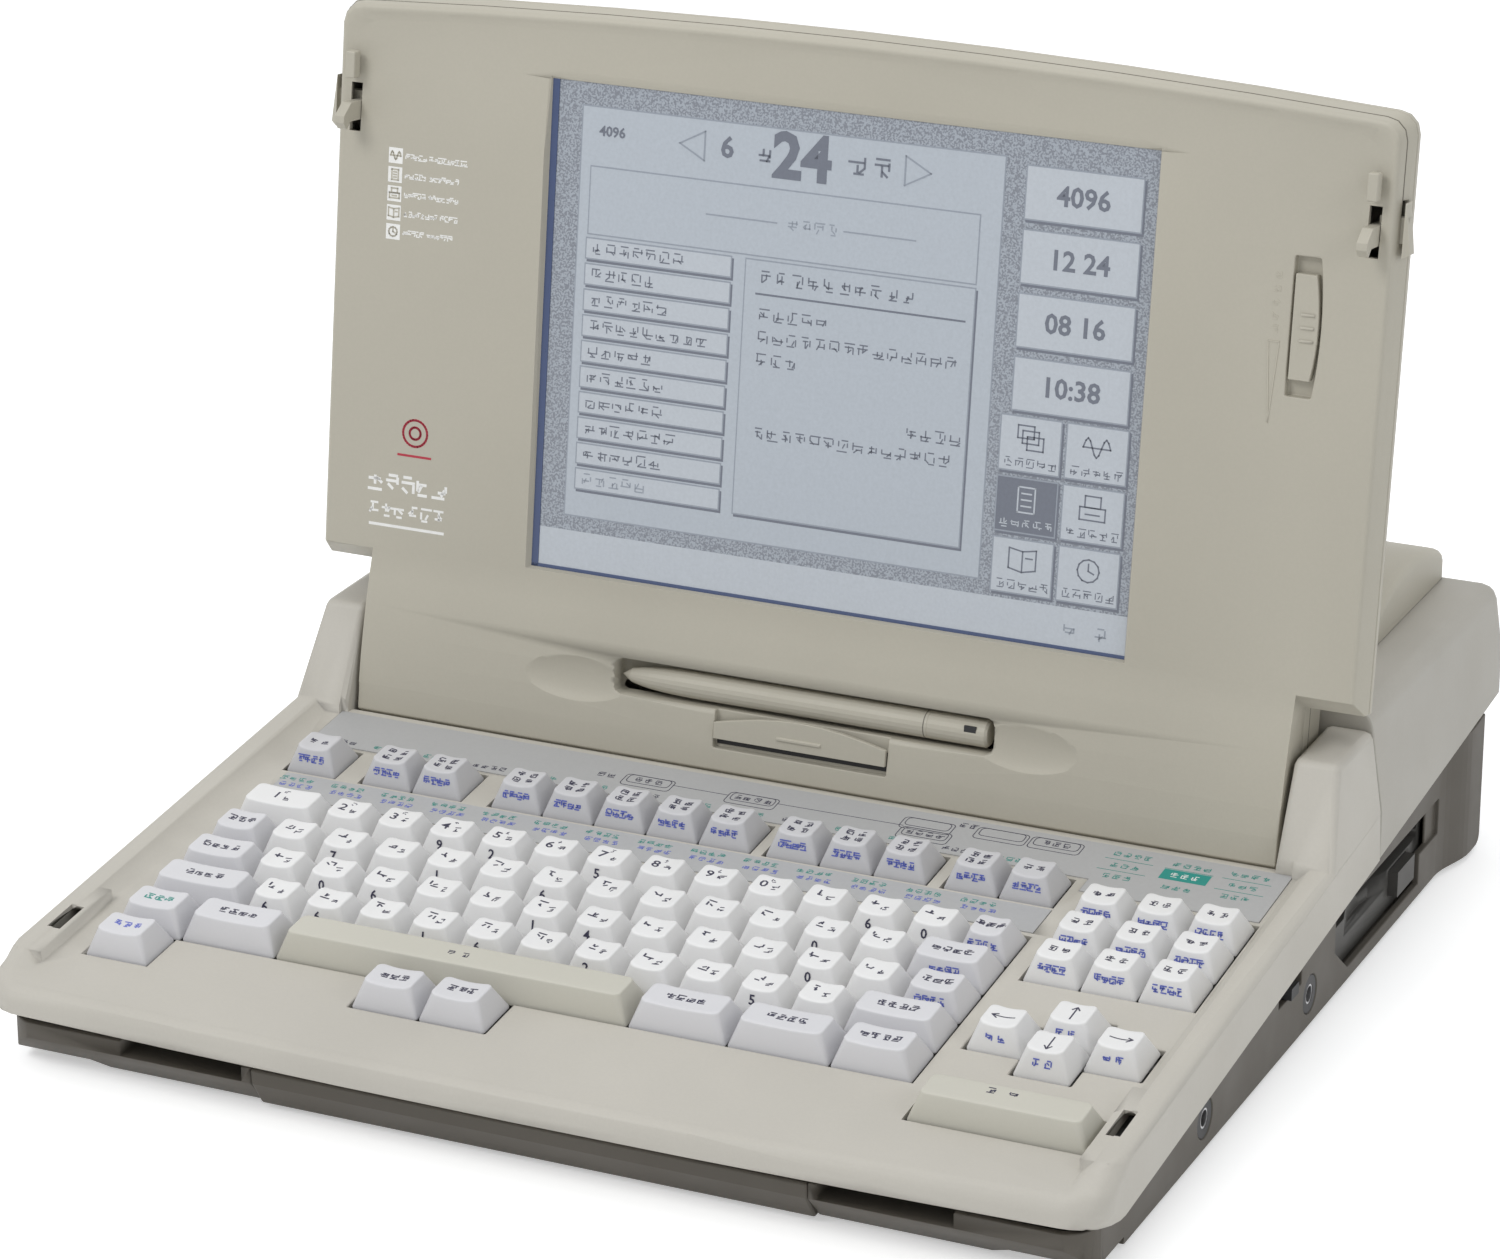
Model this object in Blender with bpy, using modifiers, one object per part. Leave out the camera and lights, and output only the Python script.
# Portable electronic word processor: a keyboard base with a built-in printer at the rear
# and a hinged display lid that carries a pen tray in its neck.
import math
import bpy
import bmesh
from mathutils import Matrix, Vector

MM = 0.001
DEG = math.pi / 180

# Clearances, walls and facets shared by every piece
SEAT_GAP = 0.3 * MM
OVERRUN = 6 * MM
WALL = 2.5 * MM
WELD = 0.00001
FLAT_ANGLE = 0.5 * DEG
SOFT_ANGLE = 38 * DEG
ROUND_SIDES = 20
SMALL_SIDES = 12
ARC_STEPS = 8
EDGE_STEPS = 2

# Case: lengths run back from the deck's reference line and up from its height
CASE_WIDTH = 377 * MM
CASE_REAR = 343 * MM
DECK_TILT = 5.3 * DEG
DECK_HEIGHT = 35 * MM
FOOT_HEIGHT = 2 * MM
CORNER_TURN_SHARES = (40, 75)
RAMP_SHARES = (0, 0.3, 0.7, 1)
SKIRT_INSET = 4.8 * MM
RIM_WALL = 6.5 * MM

# Upper case: deck, nose, rails and ears
NOSE_REACH = 50.5 * MM
NOSE_LOW = 9 * MM
NOSE_HIGH = 5 * MM
NOSE_ROUND = 1.6 * MM
NOSE_RUN = 5 * MM
LIP_REACH = 42 * MM
LIP_DROP = 14.5 * MM
BOW = 3.5 * MM
CORNER = 13 * MM
RAIL_RISE = 4 * MM
RAIL_FOOT_IN = 12 * MM
RAIL_CREST_IN = 8 * MM
RAIL_EDGE_IN = 2 * MM
RAIL_START = 42 * MM
RAIL_FULL = 30 * MM
EDGE_DROP = 2 * MM
DECK_END = 207.5 * MM
EAR_WIDTH = 20 * MM
EAR_FRONT = 159 * MM
EAR_FRONT_LOW = 17.6 * MM
EAR_TOP = 49.5 * MM
EAR_TOP_FRONT = 175 * MM
EAR_LEAN = 4.2 * MM
EAR_SOFT = 2.4 * MM
EAR_STEP = 0.15 * MM
EAR_ROOT = 7 * MM
CATCH_IN = 8.5 * MM
CATCH_WIDTH = 4.6 * MM
CATCH_BACK = 1.6 * MM
CATCH_FRONT = 13.6 * MM
PAD_HALF = 4.5 * MM
PAD_FRONT = 28.6 * MM
PAD_BACK = 15 * MM
PAD_RISE = 3.7 * MM
PAD_SKIN = 1.5 * MM

# Hinge line of the lid, and how the open lid leans back from upright
HINGE_BACK = 181 * MM
HINGE_UP = 33 * MM
LID_LEAN = 7.5 * DEG
TROUGH_RADIUS = 24.9 * MM
TROUGH_TOP = 70 * MM
PIN_RADIUS = 4 * MM
PIN_INWARD = 10.5 * MM
PIN_OUTWARD = 11 * MM

# Lid: x across, then along the face, then depth behind the face
HINGE_ALONG = 34.1 * MM
HINGE_DEPTH = 6.5 * MM
LID_FOOT = 70 * MM
LID_TOP = 264 * MM
LID_ARCH = 6 * MM
LID_CORNER = 7 * MM
LID_SPLIT = 11 * MM
LID_THICK = 28 * MM
FACE_INSET = 3.2 * MM
FACE_ROUND = 1.2 * MM
FACE_ROUND_INSET = 2.2 * MM
FOOT_SLOPE_DEPTH = 8.7 * MM
FOOT_SLOPE_RUN = 5.7 * MM
BACK_STRAIGHT = 13.5 * MM
BACK_ROUND = 20 * MM
BACK_ROUND_INSET = 4 * MM
BACK_INSET = 12 * MM
NECK_GAP = 1.5 * MM
NECK_CURVE_SHARE = 1.8
NECK_RADIUS = 23.8 * MM
NECK_BULGE = 7 * MM
NECK_END = 14.5 * MM
NECK_STEPS = 6

# Screen stack behind the bezel
SCREEN_HALF = 107.5 * MM
SCREEN_LOW = 72 * MM
SCREEN_HIGH = 238.5 * MM
SCREEN_FLARE = 1.2 * MM
GLASS_THICK = 1.2 * MM
GLASS_BORDER = 4.5 * MM
PANEL_THICK = 8 * MM
PANEL_BORDER = 9 * MM
INVERTER_HALF = 90 * MM
INVERTER_LOW = 70 * MM
INVERTER_HIGH = 96 * MM
BOARD_THICK = 1.6 * MM
INVERTER_DEPTH = 20 * MM
BOSS_RADIUS = 3 * MM

# Contrast slider in the right of the bezel
CONTRAST_IN = 28.2 * MM
CONTRAST_POCKET = (10.2 * MM, 45 * MM, 3.2 * MM)
CONTRAST_MIDDLE = 188.5 * MM
CONTRAST_KNOB = (8.6 * MM, 34 * MM, 3.4 * MM)
CONTRAST_BOW = 1.6 * MM
CONTRAST_RIDGE = (4.5 * MM, 0.8 * MM, 0.5 * MM)
CONTRAST_RIDGE_STEP = 4.2 * MM

# Latches: hook through the bezel, finger knob on the lid's side
HOOK_THICK = 3.6 * MM
HOOK_SLOT_LOW = 213 * MM
HOOK_SLOT_HIGH = 229.5 * MM
HOOK_LOW = 217 * MM
HOOK_HIGH = 223.5 * MM
HOOK_REACH = 11.4 * MM
HOOK_BARB = 2.4 * MM
HOOK_DEPTH = 8.6 * MM
LATCH_SLOT_LOW = 217.5 * MM
LATCH_SLOT_HIGH = 231.5 * MM
LATCH_SLOT_DEPTH = (4.6 * MM, 8.4 * MM)
KNOB_LOW = 213.5 * MM
KNOB_HIGH = 231 * MM
KNOB_PROUD = 2.6 * MM
KNOB_DEPTH = (2.6 * MM, 9.6 * MM)
LATCH_TRAVEL = 5 * MM
STOP_LOW = 231.5 * MM
STOP_HIGH = 240.5 * MM

# Pen tray in the neck, its pen and its flap
TRAY_LEFT = 71 * MM
TRAY_SPARE = 2.75 * MM
TRAY_LOW = 34.8 * MM
TRAY_HIGH = 47 * MM
PEN_ALONG = 40.6 * MM
PEN_RADIUS = 4.6 * MM
PEN_CENTRE_OUT = 0.4 * MM
TRAY_FLOOR = PEN_RADIUS - PEN_CENTRE_OUT + SEAT_GAP
PEN_LENGTH = 134 * MM
PEN_CAP = 21 * MM
PEN_END_SHARE = 2.4
PEN_TIP = 30 * MM
FLAP_LEFT = 32.2 * MM
FLAP_RIGHT = 30.2 * MM
FLAP_LOW = 25.4 * MM
FLAP_SHOULDER = 31 * MM
FLAP_CREST = 35.4 * MM
FLAP_THICK = 1.8 * MM
FLAP_PROUD = 0.5 * MM
FLAP_RECESS = 3.6 * MM
FLAP_RECESS_LOW = 22 * MM
FLAP_RIDGE = (16 * MM, 1 * MM, 0.6 * MM)

# Keyboard grid: places run in key pitches from the main block's front right corner
KEY_PITCH = 19 * MM
MAIN_RIGHT_IN = 78 * MM
KEY_GAP = 0.8 * MM
KEY_RISE = 8.5 * MM
KEY_SKIRT = 1 * MM
KEY_SOFT = 1.1 * MM
KEY_SOFT_INSET = 0.8 * MM
KEY_FRONT_SLOPE = 2.5 * MM
KEY_BACK_SLOPE = 3.6 * MM
KEY_SIDE_SLOPE = 3 * MM
STEM_HALF = 2.5 * MM
STEM_TAIL = 3 * MM
WELL_MARGIN = 0.7 * MM
WELL_DEPTH = 12 * MM
PLATE_TOP = 5.4 * MM
PLATE_THICK = 1.4 * MM
PLATE_LEFT_IN = 16.5 * MM
PLATE_RIGHT_IN = 10.5 * MM
PLATE_FRONT = 23 * MM
PLATE_BACK = 136 * MM
RIB_WIDTH = 4.6 * MM

# Each row: front edge, left edge, key widths, and the names of the keys that travel, all in
# shares of the key pitch
MAIN_ROW_SHARES = (
    (4, -14.55, (1.62,) + (1,) * 12 + (0.93,), {}),
    (3, -14.55, (1.09,) + (1,) * 12 + (1.46,), {13: "return_key"}),
    (2, -14.55, (1.41,) + (1,) * 12 + (1.14,), {}),
    (1, -14.55, (1.87,) + (1,) * 11 + (1.68,), {0: "shift_key_left", 12: "shift_key_right"}),
    (0, -14.55, (1.27, 1.79, 6.49, 1.76, 1.80, 1.44),
     {1: "tab_key", 2: "space_bar", 3: "hiragana_key", 4: "katakana_key", 5: "cancel_key"}),
    (-1, -14.55, (1.2,), {0: "function_key"}),
    (-1, -9.52, (1.23, 1.23), {0: "non_convert_key", 1: "convert_key"}),
)
FUNCTION_ROW_FRONT_SHARE = 6.1
FUNCTION_GROUP_SHARES = ((-14.66, 1), (-13.15, 2), (-10.59, 5), (-5.32, 3), (-2.03, 2))
EDIT_PAD_SHARE = (0.39, 3.64)
EDIT_PAD_COUNT = 3
ARROW_LEFT_SHARE = 0.36
ARROW_FRONT_SHARE = 0.79
ARROW_WELL_SHARE = 0.5
ARROW_COUNT = 3
EXECUTE_SHARE = (0.33, -1.08, 3.06)

# Legend plates let into the deck
LEGEND_DEPTH = 0.8 * MM
LEGEND_THICK = 0.7 * MM
LEGEND_LEFT_IN = 18 * MM
LEGEND_RIGHT_IN = 14 * MM
LEGEND_FRONT = 137.5 * MM
LEGEND_PAD_FRONT = 129 * MM
LEGEND_PAD_GAP = 3.5 * MM
LEGEND_BACK = 161.5 * MM
LEGEND_LOW_FRONT = 98 * MM
LEGEND_LOW_BACK = 114 * MM

# Lower case
BASE_DROP = 33 * MM
FRONT_TOP = 40.5 * MM
FRONT_MIDDLE = 40 * MM
FRONT_MIDDLE_DROP = 24 * MM
FRONT_BOTTOM = 31.5 * MM
REAR_WALL = 322.5 * MM
REAR_ROUND = 4 * MM
FLUSH_START = 287 * MM
FLUSH_END = 312 * MM
LOWER_CORNER = 12 * MM
RAISE_START = 150 * MM
RAISE_FULL = 156 * MM
RAISE_HEIGHT = 2.5 * MM
RAISE_BACK = 12 * MM

# Carrying handle
HANDLE_HALF = 94.2 * MM
HANDLE_BACK = 31.2 * MM
ARM_INNER = 80 * MM
ARM_OUTER = 89 * MM
ARM_END = 38 * MM
ARM_HEIGHT = 7 * MM
FINGER_FAR = 141 * MM
FINGER_NEAR = 97.5 * MM
FINGER_HEIGHT = 5.4 * MM
FINGER_DEPTH = 14 * MM

# Rear housing over the printer
HOUSING_FRONT = 208 * MM
HOUSING_TOP = 56.3 * MM
HOUSING_ROUND = 5.5 * MM
HOUSING_ROUND_STEPS = 3
HOUSING_EDGE = 1.5 * MM
BAY_IN = 30.5 * MM
BAY_FRONT = 251 * MM
BAY_BACK = 334 * MM
PAPER_HALF = 118 * MM
PAPER_FRONT = 231 * MM
PAPER_BACK = 239 * MM

# Printer lid
PLID_IN = 22.2 * MM
PLID_FRONT = 248 * MM
PLID_BACK = 340 * MM
PLID_CREST = 17.6 * MM
PLID_CREST_BACK = 301 * MM
PLID_RADIUS = 93.5 * MM
PLID_ROUND = 4.5 * MM

# Printer mechanism
FRAME_IN = 38.5 * MM
FRAME_FRONT = 216 * MM
FRAME_BACK = 319.4 * MM
FRAME_FLOOR = 4.2 * MM
FRAME_SHEET = 1.5 * MM
FRAME_TOP = 44 * MM
FRAME_SIDE_FRONT = 240 * MM
PLATEN_BACK = 298 * MM
PLATEN_UP = 22 * MM
PLATEN_RADIUS = 11 * MM
PLATEN_IN = 12 * MM
SHAFT_RADIUS = 3 * MM
SHAFT_SPARE = 1.6 * MM
GUIDE_OFFSET = 38 * MM
GUIDE_UP = 12 * MM
GUIDE_RADIUS = 4 * MM
GUIDE_SPARE = 1 * MM
PLATEN_GEAR_RADIUS = 20 * MM
PLATEN_TEETH = 40
DRIVE_TEETH = 16
GEAR_CLEAR = 2 * MM
GEAR_THICK = 5 * MM
GEAR_BACKLASH_SHARE = 0.2
GEAR_TIP_SHARE = 0.8
GEAR_ROOT_SHARE = 1.15
DRIVE_ANGLE = -150 * DEG
MOTOR_RADIUS = 10 * MM
MOTOR_LENGTH = 22 * MM
MOTOR_SHAFT = 1.5 * MM
CARRIAGE_HALF = 24 * MM
CARRIAGE_FRONT = 250 * MM
CARRIAGE_BACK = 276 * MM
CARRIAGE_LOW = 4 * MM
CARRIAGE_HIGH = 28 * MM
HEAD_HALF = 9 * MM
HEAD_GAP = 1.5 * MM
HEAD_LOW = 17 * MM
HEAD_HIGH = 26 * MM
CARTRIDGE_HALF = 33 * MM
CARTRIDGE_FRONT = 243 * MM
CARTRIDGE_BACK = 284 * MM
CARTRIDGE_HEIGHT = 11 * MM
CARTRIDGE_NOTCH = 12 * MM

# Floppy drive, bay and eject button on the right-hand side
DRIVE_FRONT = 177.5 * MM
DRIVE_BACK = 281 * MM
DRIVE_INNER = 66.5 * MM
DRIVE_RECESS = 1.5 * MM
DRIVE_LOW = 29.7 * MM
DRIVE_HIGH = 4.5 * MM
DISK_MARGIN = 5.5 * MM
DISK_LOW = 14.5 * MM
DISK_HIGH = 9.5 * MM
DISK_DEPTH = 95 * MM
EJECT_FRONT = 247 * MM
EJECT_BACK = 265 * MM
EJECT_LOW = 25 * MM
EJECT_HIGH = 16 * MM
EJECT_PROUD = 3.3 * MM
EJECT_BODY = 9 * MM
EJECT_TRAVEL = 3.5 * MM
RELIEF_FRONT = 200 * MM
RELIEF_BACK = 244 * MM
RELIEF_DEEP = 4 * MM
RELIEF_LOW = 21 * MM
WINDOW_FRONT = 179.5 * MM
WINDOW_BACK = 278 * MM
WINDOW_LOW = 28.3 * MM
WINDOW_CHAMFER = (14 * MM, 10.6 * MM)
WINDOW_STEP = (10 * MM, 10.8 * MM)
WINDOW_FRAME = (10 * MM, 1.5 * MM)

# Side sockets and volume slider on the right-hand side
JACK_PLACES = ((57 * MM, 22.6 * MM), (155 * MM, 22 * MM))
JACK_RADIUS = 6.4 * MM
JACK_BORE = 3.4 * MM
JACK_LENGTH = 15 * MM
JACK_BORE_DEPTH = 12 * MM
VOLUME_BACK = 135 * MM
VOLUME_DROP = 12.3 * MM
VOLUME_SLOT = (22 * MM, 4.6 * MM)
VOLUME_KNOB = (7 * MM, 4 * MM, 1.6 * MM)
VOLUME_PLATE = (30 * MM, 6 * MM, 2 * MM)

# Rear inlet and switch
INLET_MARGIN = 1.6 * MM
INLET_LOW = 12 * MM
INLET_HIGH = -8 * MM
INLET_DEPTH = 22 * MM
INLET_WALL = 2 * MM
SWITCH_HALF = 6.5 * MM
SWITCH_LENGTH = 20 * MM
SWITCH_DEPTH = 9 * MM
SWITCH_CANT = 1.6 * MM

# Boards, supply, speaker and feet
BOARD_IN = 23.5 * MM
BOARD_FRONT = 44 * MM
BOARD_BACK = 172 * MM
BOARD_CLEAR = 4 * MM
CHIP_PLACES = ((-110 * MM, 70 * MM), (-60 * MM, 120 * MM), (20 * MM, 80 * MM), (70 * MM, 130 * MM))
CHIP_HALF = 14 * MM
CHIP_HEIGHT = 3 * MM
SUPPLY_IN = 10.5 * MM
SUPPLY_RIGHT = 60 * MM
SUPPLY_FRONT = 192 * MM
SUPPLY_BACK = 290 * MM
SUPPLY_TOP = 7 * MM
SPEAKER_IN = 58.5 * MM
SPEAKER_BACK = 8 * MM
SPEAKER_RADIUS = 20 * MM
SPEAKER_HEIGHT = 9 * MM
FOOT_RADIUS = 8 * MM
FOOT_LET_IN = 1 * MM
FOOT_IN = 38.5 * MM
FOOT_FRONT = 10 * MM
FOOT_BACK = 300 * MM
POST_RADIUS = 4 * MM
BRACKET_SPARE = 1 * MM
BRACKET_FRONT = 174.5 * MM
BRACKET_BACK = 190 * MM
BRACKET_LOW = 24 * MM
BRACKET_HIGH = 41 * MM
BRACKET_LEG_FRONT = 168 * MM
BRACKET_LEG_BACK = 176.5 * MM

# Finishes: colour, roughness, metallic
FINISHES = {
    "case_plastic": ((0.70, 0.66, 0.58), 0.55, 0),
    "lid_plastic": ((0.62, 0.60, 0.50), 0.55, 0),
    "lower_plastic": ((0.36, 0.34, 0.30), 0.6, 0),
    "key_white": ((0.86, 0.86, 0.86), 0.45, 0),
    "key_grey": ((0.68, 0.68, 0.70), 0.45, 0),
    "key_beige": ((0.70, 0.67, 0.58), 0.5, 0),
    "legend_grey": ((0.55, 0.57, 0.58), 0.5, 0),
    "glass": ((0.60, 0.68, 0.78), 0.1, 0),
    "panel": ((0.35, 0.42, 0.52), 0.35, 0),
    "steel": ((0.62, 0.62, 0.64), 0.35, 1),
    "board": ((0.08, 0.30, 0.14), 0.6, 0),
    "rubber": ((0.05, 0.05, 0.05), 0.85, 0),
    "dark_plastic": ((0.10, 0.10, 0.11), 0.5, 0),
}

# Places across the case follow its width
HALF = CASE_WIDTH / 2
SKIRT_HALF = HALF - SKIRT_INSET
SKIRT_INNER = SKIRT_HALF - WALL
RAIL_FOOT = HALF - RAIL_FOOT_IN
RAIL_CREST = HALF - RAIL_CREST_IN
RAIL_EDGE = HALF - RAIL_EDGE_IN
EAR_INNER = HALF - EAR_WIDTH
CATCH_X = HALF - CATCH_IN
PAD_INNER = CATCH_X - PAD_HALF
PAD_OUTER = CATCH_X + PAD_HALF
HOOK_X = CATCH_X
PIN_START = EAR_INNER - PIN_INWARD
PIN_END = EAR_INNER + PIN_OUTWARD
BRACKET_OUTER = PIN_END + BRACKET_SPARE
NECK_HALF = EAR_INNER - NECK_GAP
CONTRAST_X = HALF - CONTRAST_IN
MAIN_RIGHT = HALF - MAIN_RIGHT_IN
PLATE_LEFT = HALF - PLATE_LEFT_IN
PLATE_RIGHT = HALF - PLATE_RIGHT_IN
LEGEND_LEFT = HALF - LEGEND_LEFT_IN
LEGEND_RIGHT = HALF - LEGEND_RIGHT_IN
LEGEND_PAD_LEFT = MAIN_RIGHT + LEGEND_PAD_GAP
BAY_HALF = HALF - BAY_IN
PLID_HALF = HALF - PLID_IN
BOARD_HALF = HALF - BOARD_IN
SUPPLY_LEFT = HALF - SUPPLY_IN
FOOT_X = HALF - FOOT_IN
SPEAKER_X = HALF - SPEAKER_IN
DRIVE_FACE = SKIRT_INNER - DRIVE_RECESS

# The printer's own pieces follow its frame
FRAME_HALF = HALF - FRAME_IN
PLATEN_HALF = FRAME_HALF - PLATEN_IN
GEAR_START = FRAME_HALF + GEAR_CLEAR
GEAR_MODULE = 2 * PLATEN_GEAR_RADIUS / PLATEN_TEETH
SHAFT_END = GEAR_START + GEAR_THICK + SHAFT_SPARE
GUIDE_END = FRAME_HALF + GUIDE_SPARE
GUIDE_BACK = PLATEN_BACK - GUIDE_OFFSET
HEAD_REACH = PLATEN_BACK - PLATEN_RADIUS - HEAD_GAP
INLET_X = (FRAME_HALF + SKIRT_INNER) / 2
INLET_HALF = (SKIRT_INNER - FRAME_HALF) / 2 - INLET_MARGIN
SWITCH_X = INLET_X

# The pen starts half a wall from the tray's left end
PEN_START = -TRAY_LEFT + WALL / 2
TRAY_RIGHT = PEN_START + PEN_LENGTH + TRAY_SPARE

SLOPE = math.tan(DECK_TILT)
EDGE_LINE = RAIL_RISE - EDGE_DROP
EAR_BACK = DECK_END + 2 * OVERRUN


def on_case(back, up):
    """Side-view place on the tilted deck, given along it and square to it, in the case's axes."""
    return (back * math.cos(DECK_TILT) - up * math.sin(DECK_TILT),
            back * math.sin(DECK_TILT) + up * math.cos(DECK_TILT))


def parting(back, lift=0.0):
    """Height of the line where the upper pieces meet the lower case."""
    return back * SLOPE - LIP_DROP / math.cos(DECK_TILT) + lift


# How far the face of the closed lid lies above the deck, and the ribs that stop it there
CLOSED_GAP = HINGE_UP * math.cos(DECK_TILT) - HINGE_BACK * math.sin(DECK_TILT) - HINGE_DEPTH
STOP_REACH = CLOSED_GAP - PAD_RISE - 2 * SEAT_GAP

# Frames: the deck's reference line sits so that the case is centred front to rear
FRONT_REACH = -on_case(-NOSE_REACH, -NOSE_HIGH)[0]
CASE_ORIGIN = Vector((0, (FRONT_REACH - CASE_REAR) / 2, DECK_HEIGHT))
CASE_FRAME = Matrix.Translation(CASE_ORIGIN)
DECK_FRAME = CASE_FRAME @ Matrix.Rotation(DECK_TILT, 4, "X")
LID_TURN = Matrix.Rotation(math.pi / 2 - LID_LEAN, 4, "X")
HINGE_POINT = CASE_ORIGIN + Vector((0, HINGE_BACK, HINGE_UP))
LID_FRAME = Matrix.Translation(HINGE_POINT) @ LID_TURN @ Matrix.Translation((0, -HINGE_ALONG, HINGE_DEPTH))


for leftover in list(bpy.data.objects):
    bpy.data.objects.remove(leftover, do_unlink=True)

parts = bpy.data.collections.new("word_processor")
cutters = bpy.data.collections.new("word_processor_cutters")
bpy.context.scene.collection.children.link(parts)
bpy.context.scene.collection.children.link(cutters)


def finish(name):
    """Principled material for one of the named finishes."""
    if name in bpy.data.materials:
        return bpy.data.materials[name]
    colour, roughness, metallic = FINISHES[name]
    material = bpy.data.materials.new(name)
    material.use_nodes = True
    shader = material.node_tree.nodes["Principled BSDF"]
    shader.inputs["Base Color"].default_value = (*colour, 1)
    shader.inputs["Roughness"].default_value = roughness
    shader.inputs["Metallic"].default_value = metallic
    return material


def piece(name, mesh, frame, collection=cutters):
    """Object for a mesh, placed by its frame."""
    thing = bpy.data.objects.new(name, mesh)
    collection.objects.link(thing)
    thing.matrix_world = frame
    if collection is cutters:
        thing.hide_render = True
        thing.display_type = "WIRE"
    return thing


def keep(thing, name, finish_name, origin=None):
    """Turn a shape into a part: its name, finish and, for a moving piece, its origin."""
    cutters.objects.unlink(thing)
    parts.objects.link(thing)
    thing.hide_render = False
    thing.display_type = "TEXTURED"
    thing.name = name
    thing.data.materials.clear()
    thing.data.materials.append(finish(finish_name))
    if origin is not None:
        shift = Matrix.Translation(origin)
        thing.data.transform(shift.inverted())
        thing.matrix_world = thing.matrix_world @ shift
    return thing


def mesh_from(shape, name):
    """Close a bmesh into a mesh with its faces pointing out."""
    bmesh.ops.remove_doubles(shape, verts=shape.verts, dist=WELD)
    bmesh.ops.dissolve_limit(shape, angle_limit=FLAT_ANGLE, verts=shape.verts, edges=shape.edges)
    bmesh.ops.recalc_face_normals(shape, faces=shape.faces)
    mesh = bpy.data.meshes.new(name)
    shape.to_mesh(mesh)
    shape.free()
    return mesh


def boxes(name, spans, frame):
    """One or more separate boxes, each given by its low and high corner."""
    shape = bmesh.new()
    for low, high in spans:
        low, high = Vector(low), Vector(high)
        made = bmesh.ops.create_cube(shape, size=1)["verts"]
        size = high - low
        matrix = Matrix.Translation((low + high) / 2) @ Matrix.Diagonal((*size, 1))
        bmesh.ops.transform(shape, matrix=matrix, verts=made)
    return piece(name, mesh_from(shape, name), frame)


def box(name, low, high, frame):
    return boxes(name, [(low, high)], frame)


def sheet(name, outline, thickness, turn, frame):
    """Flat outline given thickness, made from a filled 2D curve."""
    curve = bpy.data.curves.new(name, "CURVE")
    curve.dimensions = "2D"
    curve.fill_mode = "BOTH"
    curve.extrude = thickness / 2
    spline = curve.splines.new("POLY")
    spline.points.add(len(outline) - 1)
    for point, (across, up) in zip(spline.points, outline):
        point.co = (across, up, 0, 1)
    spline.use_cyclic_u = True
    drawn = bpy.data.objects.new(name, curve)
    mesh = bpy.data.meshes.new_from_object(drawn)
    bpy.data.objects.remove(drawn)
    bpy.data.curves.remove(curve)
    shape = bmesh.new()
    shape.from_mesh(mesh)
    bpy.data.meshes.remove(mesh)
    bmesh.ops.transform(shape, matrix=turn, verts=shape.verts)
    return piece(name, mesh_from(shape, name), frame)


ALONG_X = Matrix(((0, 0, 1, 0), (1, 0, 0, 0), (0, 1, 0, 0), (0, 0, 0, 1)))


def prism_x(name, outline, left, right, frame):
    """Outline in y and z, run from left to right along x."""
    turn = Matrix.Translation(((left + right) / 2, 0, 0)) @ ALONG_X
    return sheet(name, outline, right - left, turn, frame)


def prism_z(name, outline, low, high, frame):
    """Outline in x and y, run from low to high along z."""
    return sheet(name, outline, high - low, Matrix.Translation((0, 0, (low + high) / 2)), frame)


def prism_y(name, outline, front, back, frame):
    """Outline in x and z, run from front to back along y."""
    turn = Matrix.Translation((0, (front + back) / 2, 0)) @ Matrix.Rotation(math.pi / 2, 4, "X")
    return sheet(name, outline, back - front, turn, frame)


def rod(name, radius, left, right, back, up, frame, sides=ROUND_SIDES):
    """Round bar along x."""
    shape = bmesh.new()
    bmesh.ops.create_cone(shape, cap_ends=True, segments=sides, radius1=radius, radius2=radius,
                          depth=right - left)
    turn = Matrix.Translation(((left + right) / 2, back, up)) @ Matrix.Rotation(math.pi / 2, 4, "Y")
    bmesh.ops.transform(shape, matrix=turn, verts=shape.verts)
    thing = piece(name, mesh_from(shape, name), frame)
    smooth(thing)
    return thing


def posts(name, radius, places, low, high, frame, sides=SMALL_SIDES):
    """Upright round posts at several places."""
    shape = bmesh.new()
    for across, back in places:
        made = bmesh.ops.create_cone(shape, cap_ends=True, segments=sides, radius1=radius, radius2=radius,
                                     depth=high - low)["verts"]
        bmesh.ops.translate(shape, verts=made, vec=(across, back, (low + high) / 2))
    return piece(name, mesh_from(shape, name), frame)


def turned(name, profile, turn, frame, sides=ROUND_SIDES):
    """Solid of revolution: the profile runs down its outer side as (radius, height)."""
    mesh = bpy.data.meshes.new(name)
    edges = [(index, index + 1) for index in range(len(profile) - 1)]
    mesh.from_pydata([(radius, 0, height) for radius, height in profile], edges, [])
    thing = piece(name, mesh, frame @ turn)
    screw = thing.modifiers.new("Turn", "SCREW")
    screw.axis = "Z"
    screw.angle = 2 * math.pi
    screw.steps = sides
    screw.render_steps = sides
    screw.use_merge_vertices = True
    screw.merge_threshold = WELD
    screw.use_smooth_shade = True
    return thing


def loft(name, rings, frame):
    """Closed solid through rings of equal point count, with flat ends."""
    shape = bmesh.new()
    rows = [[shape.verts.new(point) for point in ring] for ring in rings]
    count = len(rings[0])
    for row, following in zip(rows, rows[1:]):
        for index in range(count):
            beside = (index + 1) % count
            shape.faces.new((row[index], row[beside], following[beside], following[index]))
    shape.faces.new(rows[0])
    shape.faces.new(rows[-1])
    return piece(name, mesh_from(shape, name), frame)


def boolean(target, tool, operation):
    step = target.modifiers.new(tool.name, "BOOLEAN")
    step.operation = operation
    step.solver = "EXACT"
    step.object = tool
    return target


def cut(target, *tools):
    for tool in tools:
        boolean(target, tool, "DIFFERENCE")
    return target


def join(target, *tools):
    for tool in tools:
        boolean(target, tool, "UNION")
    return target


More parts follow.
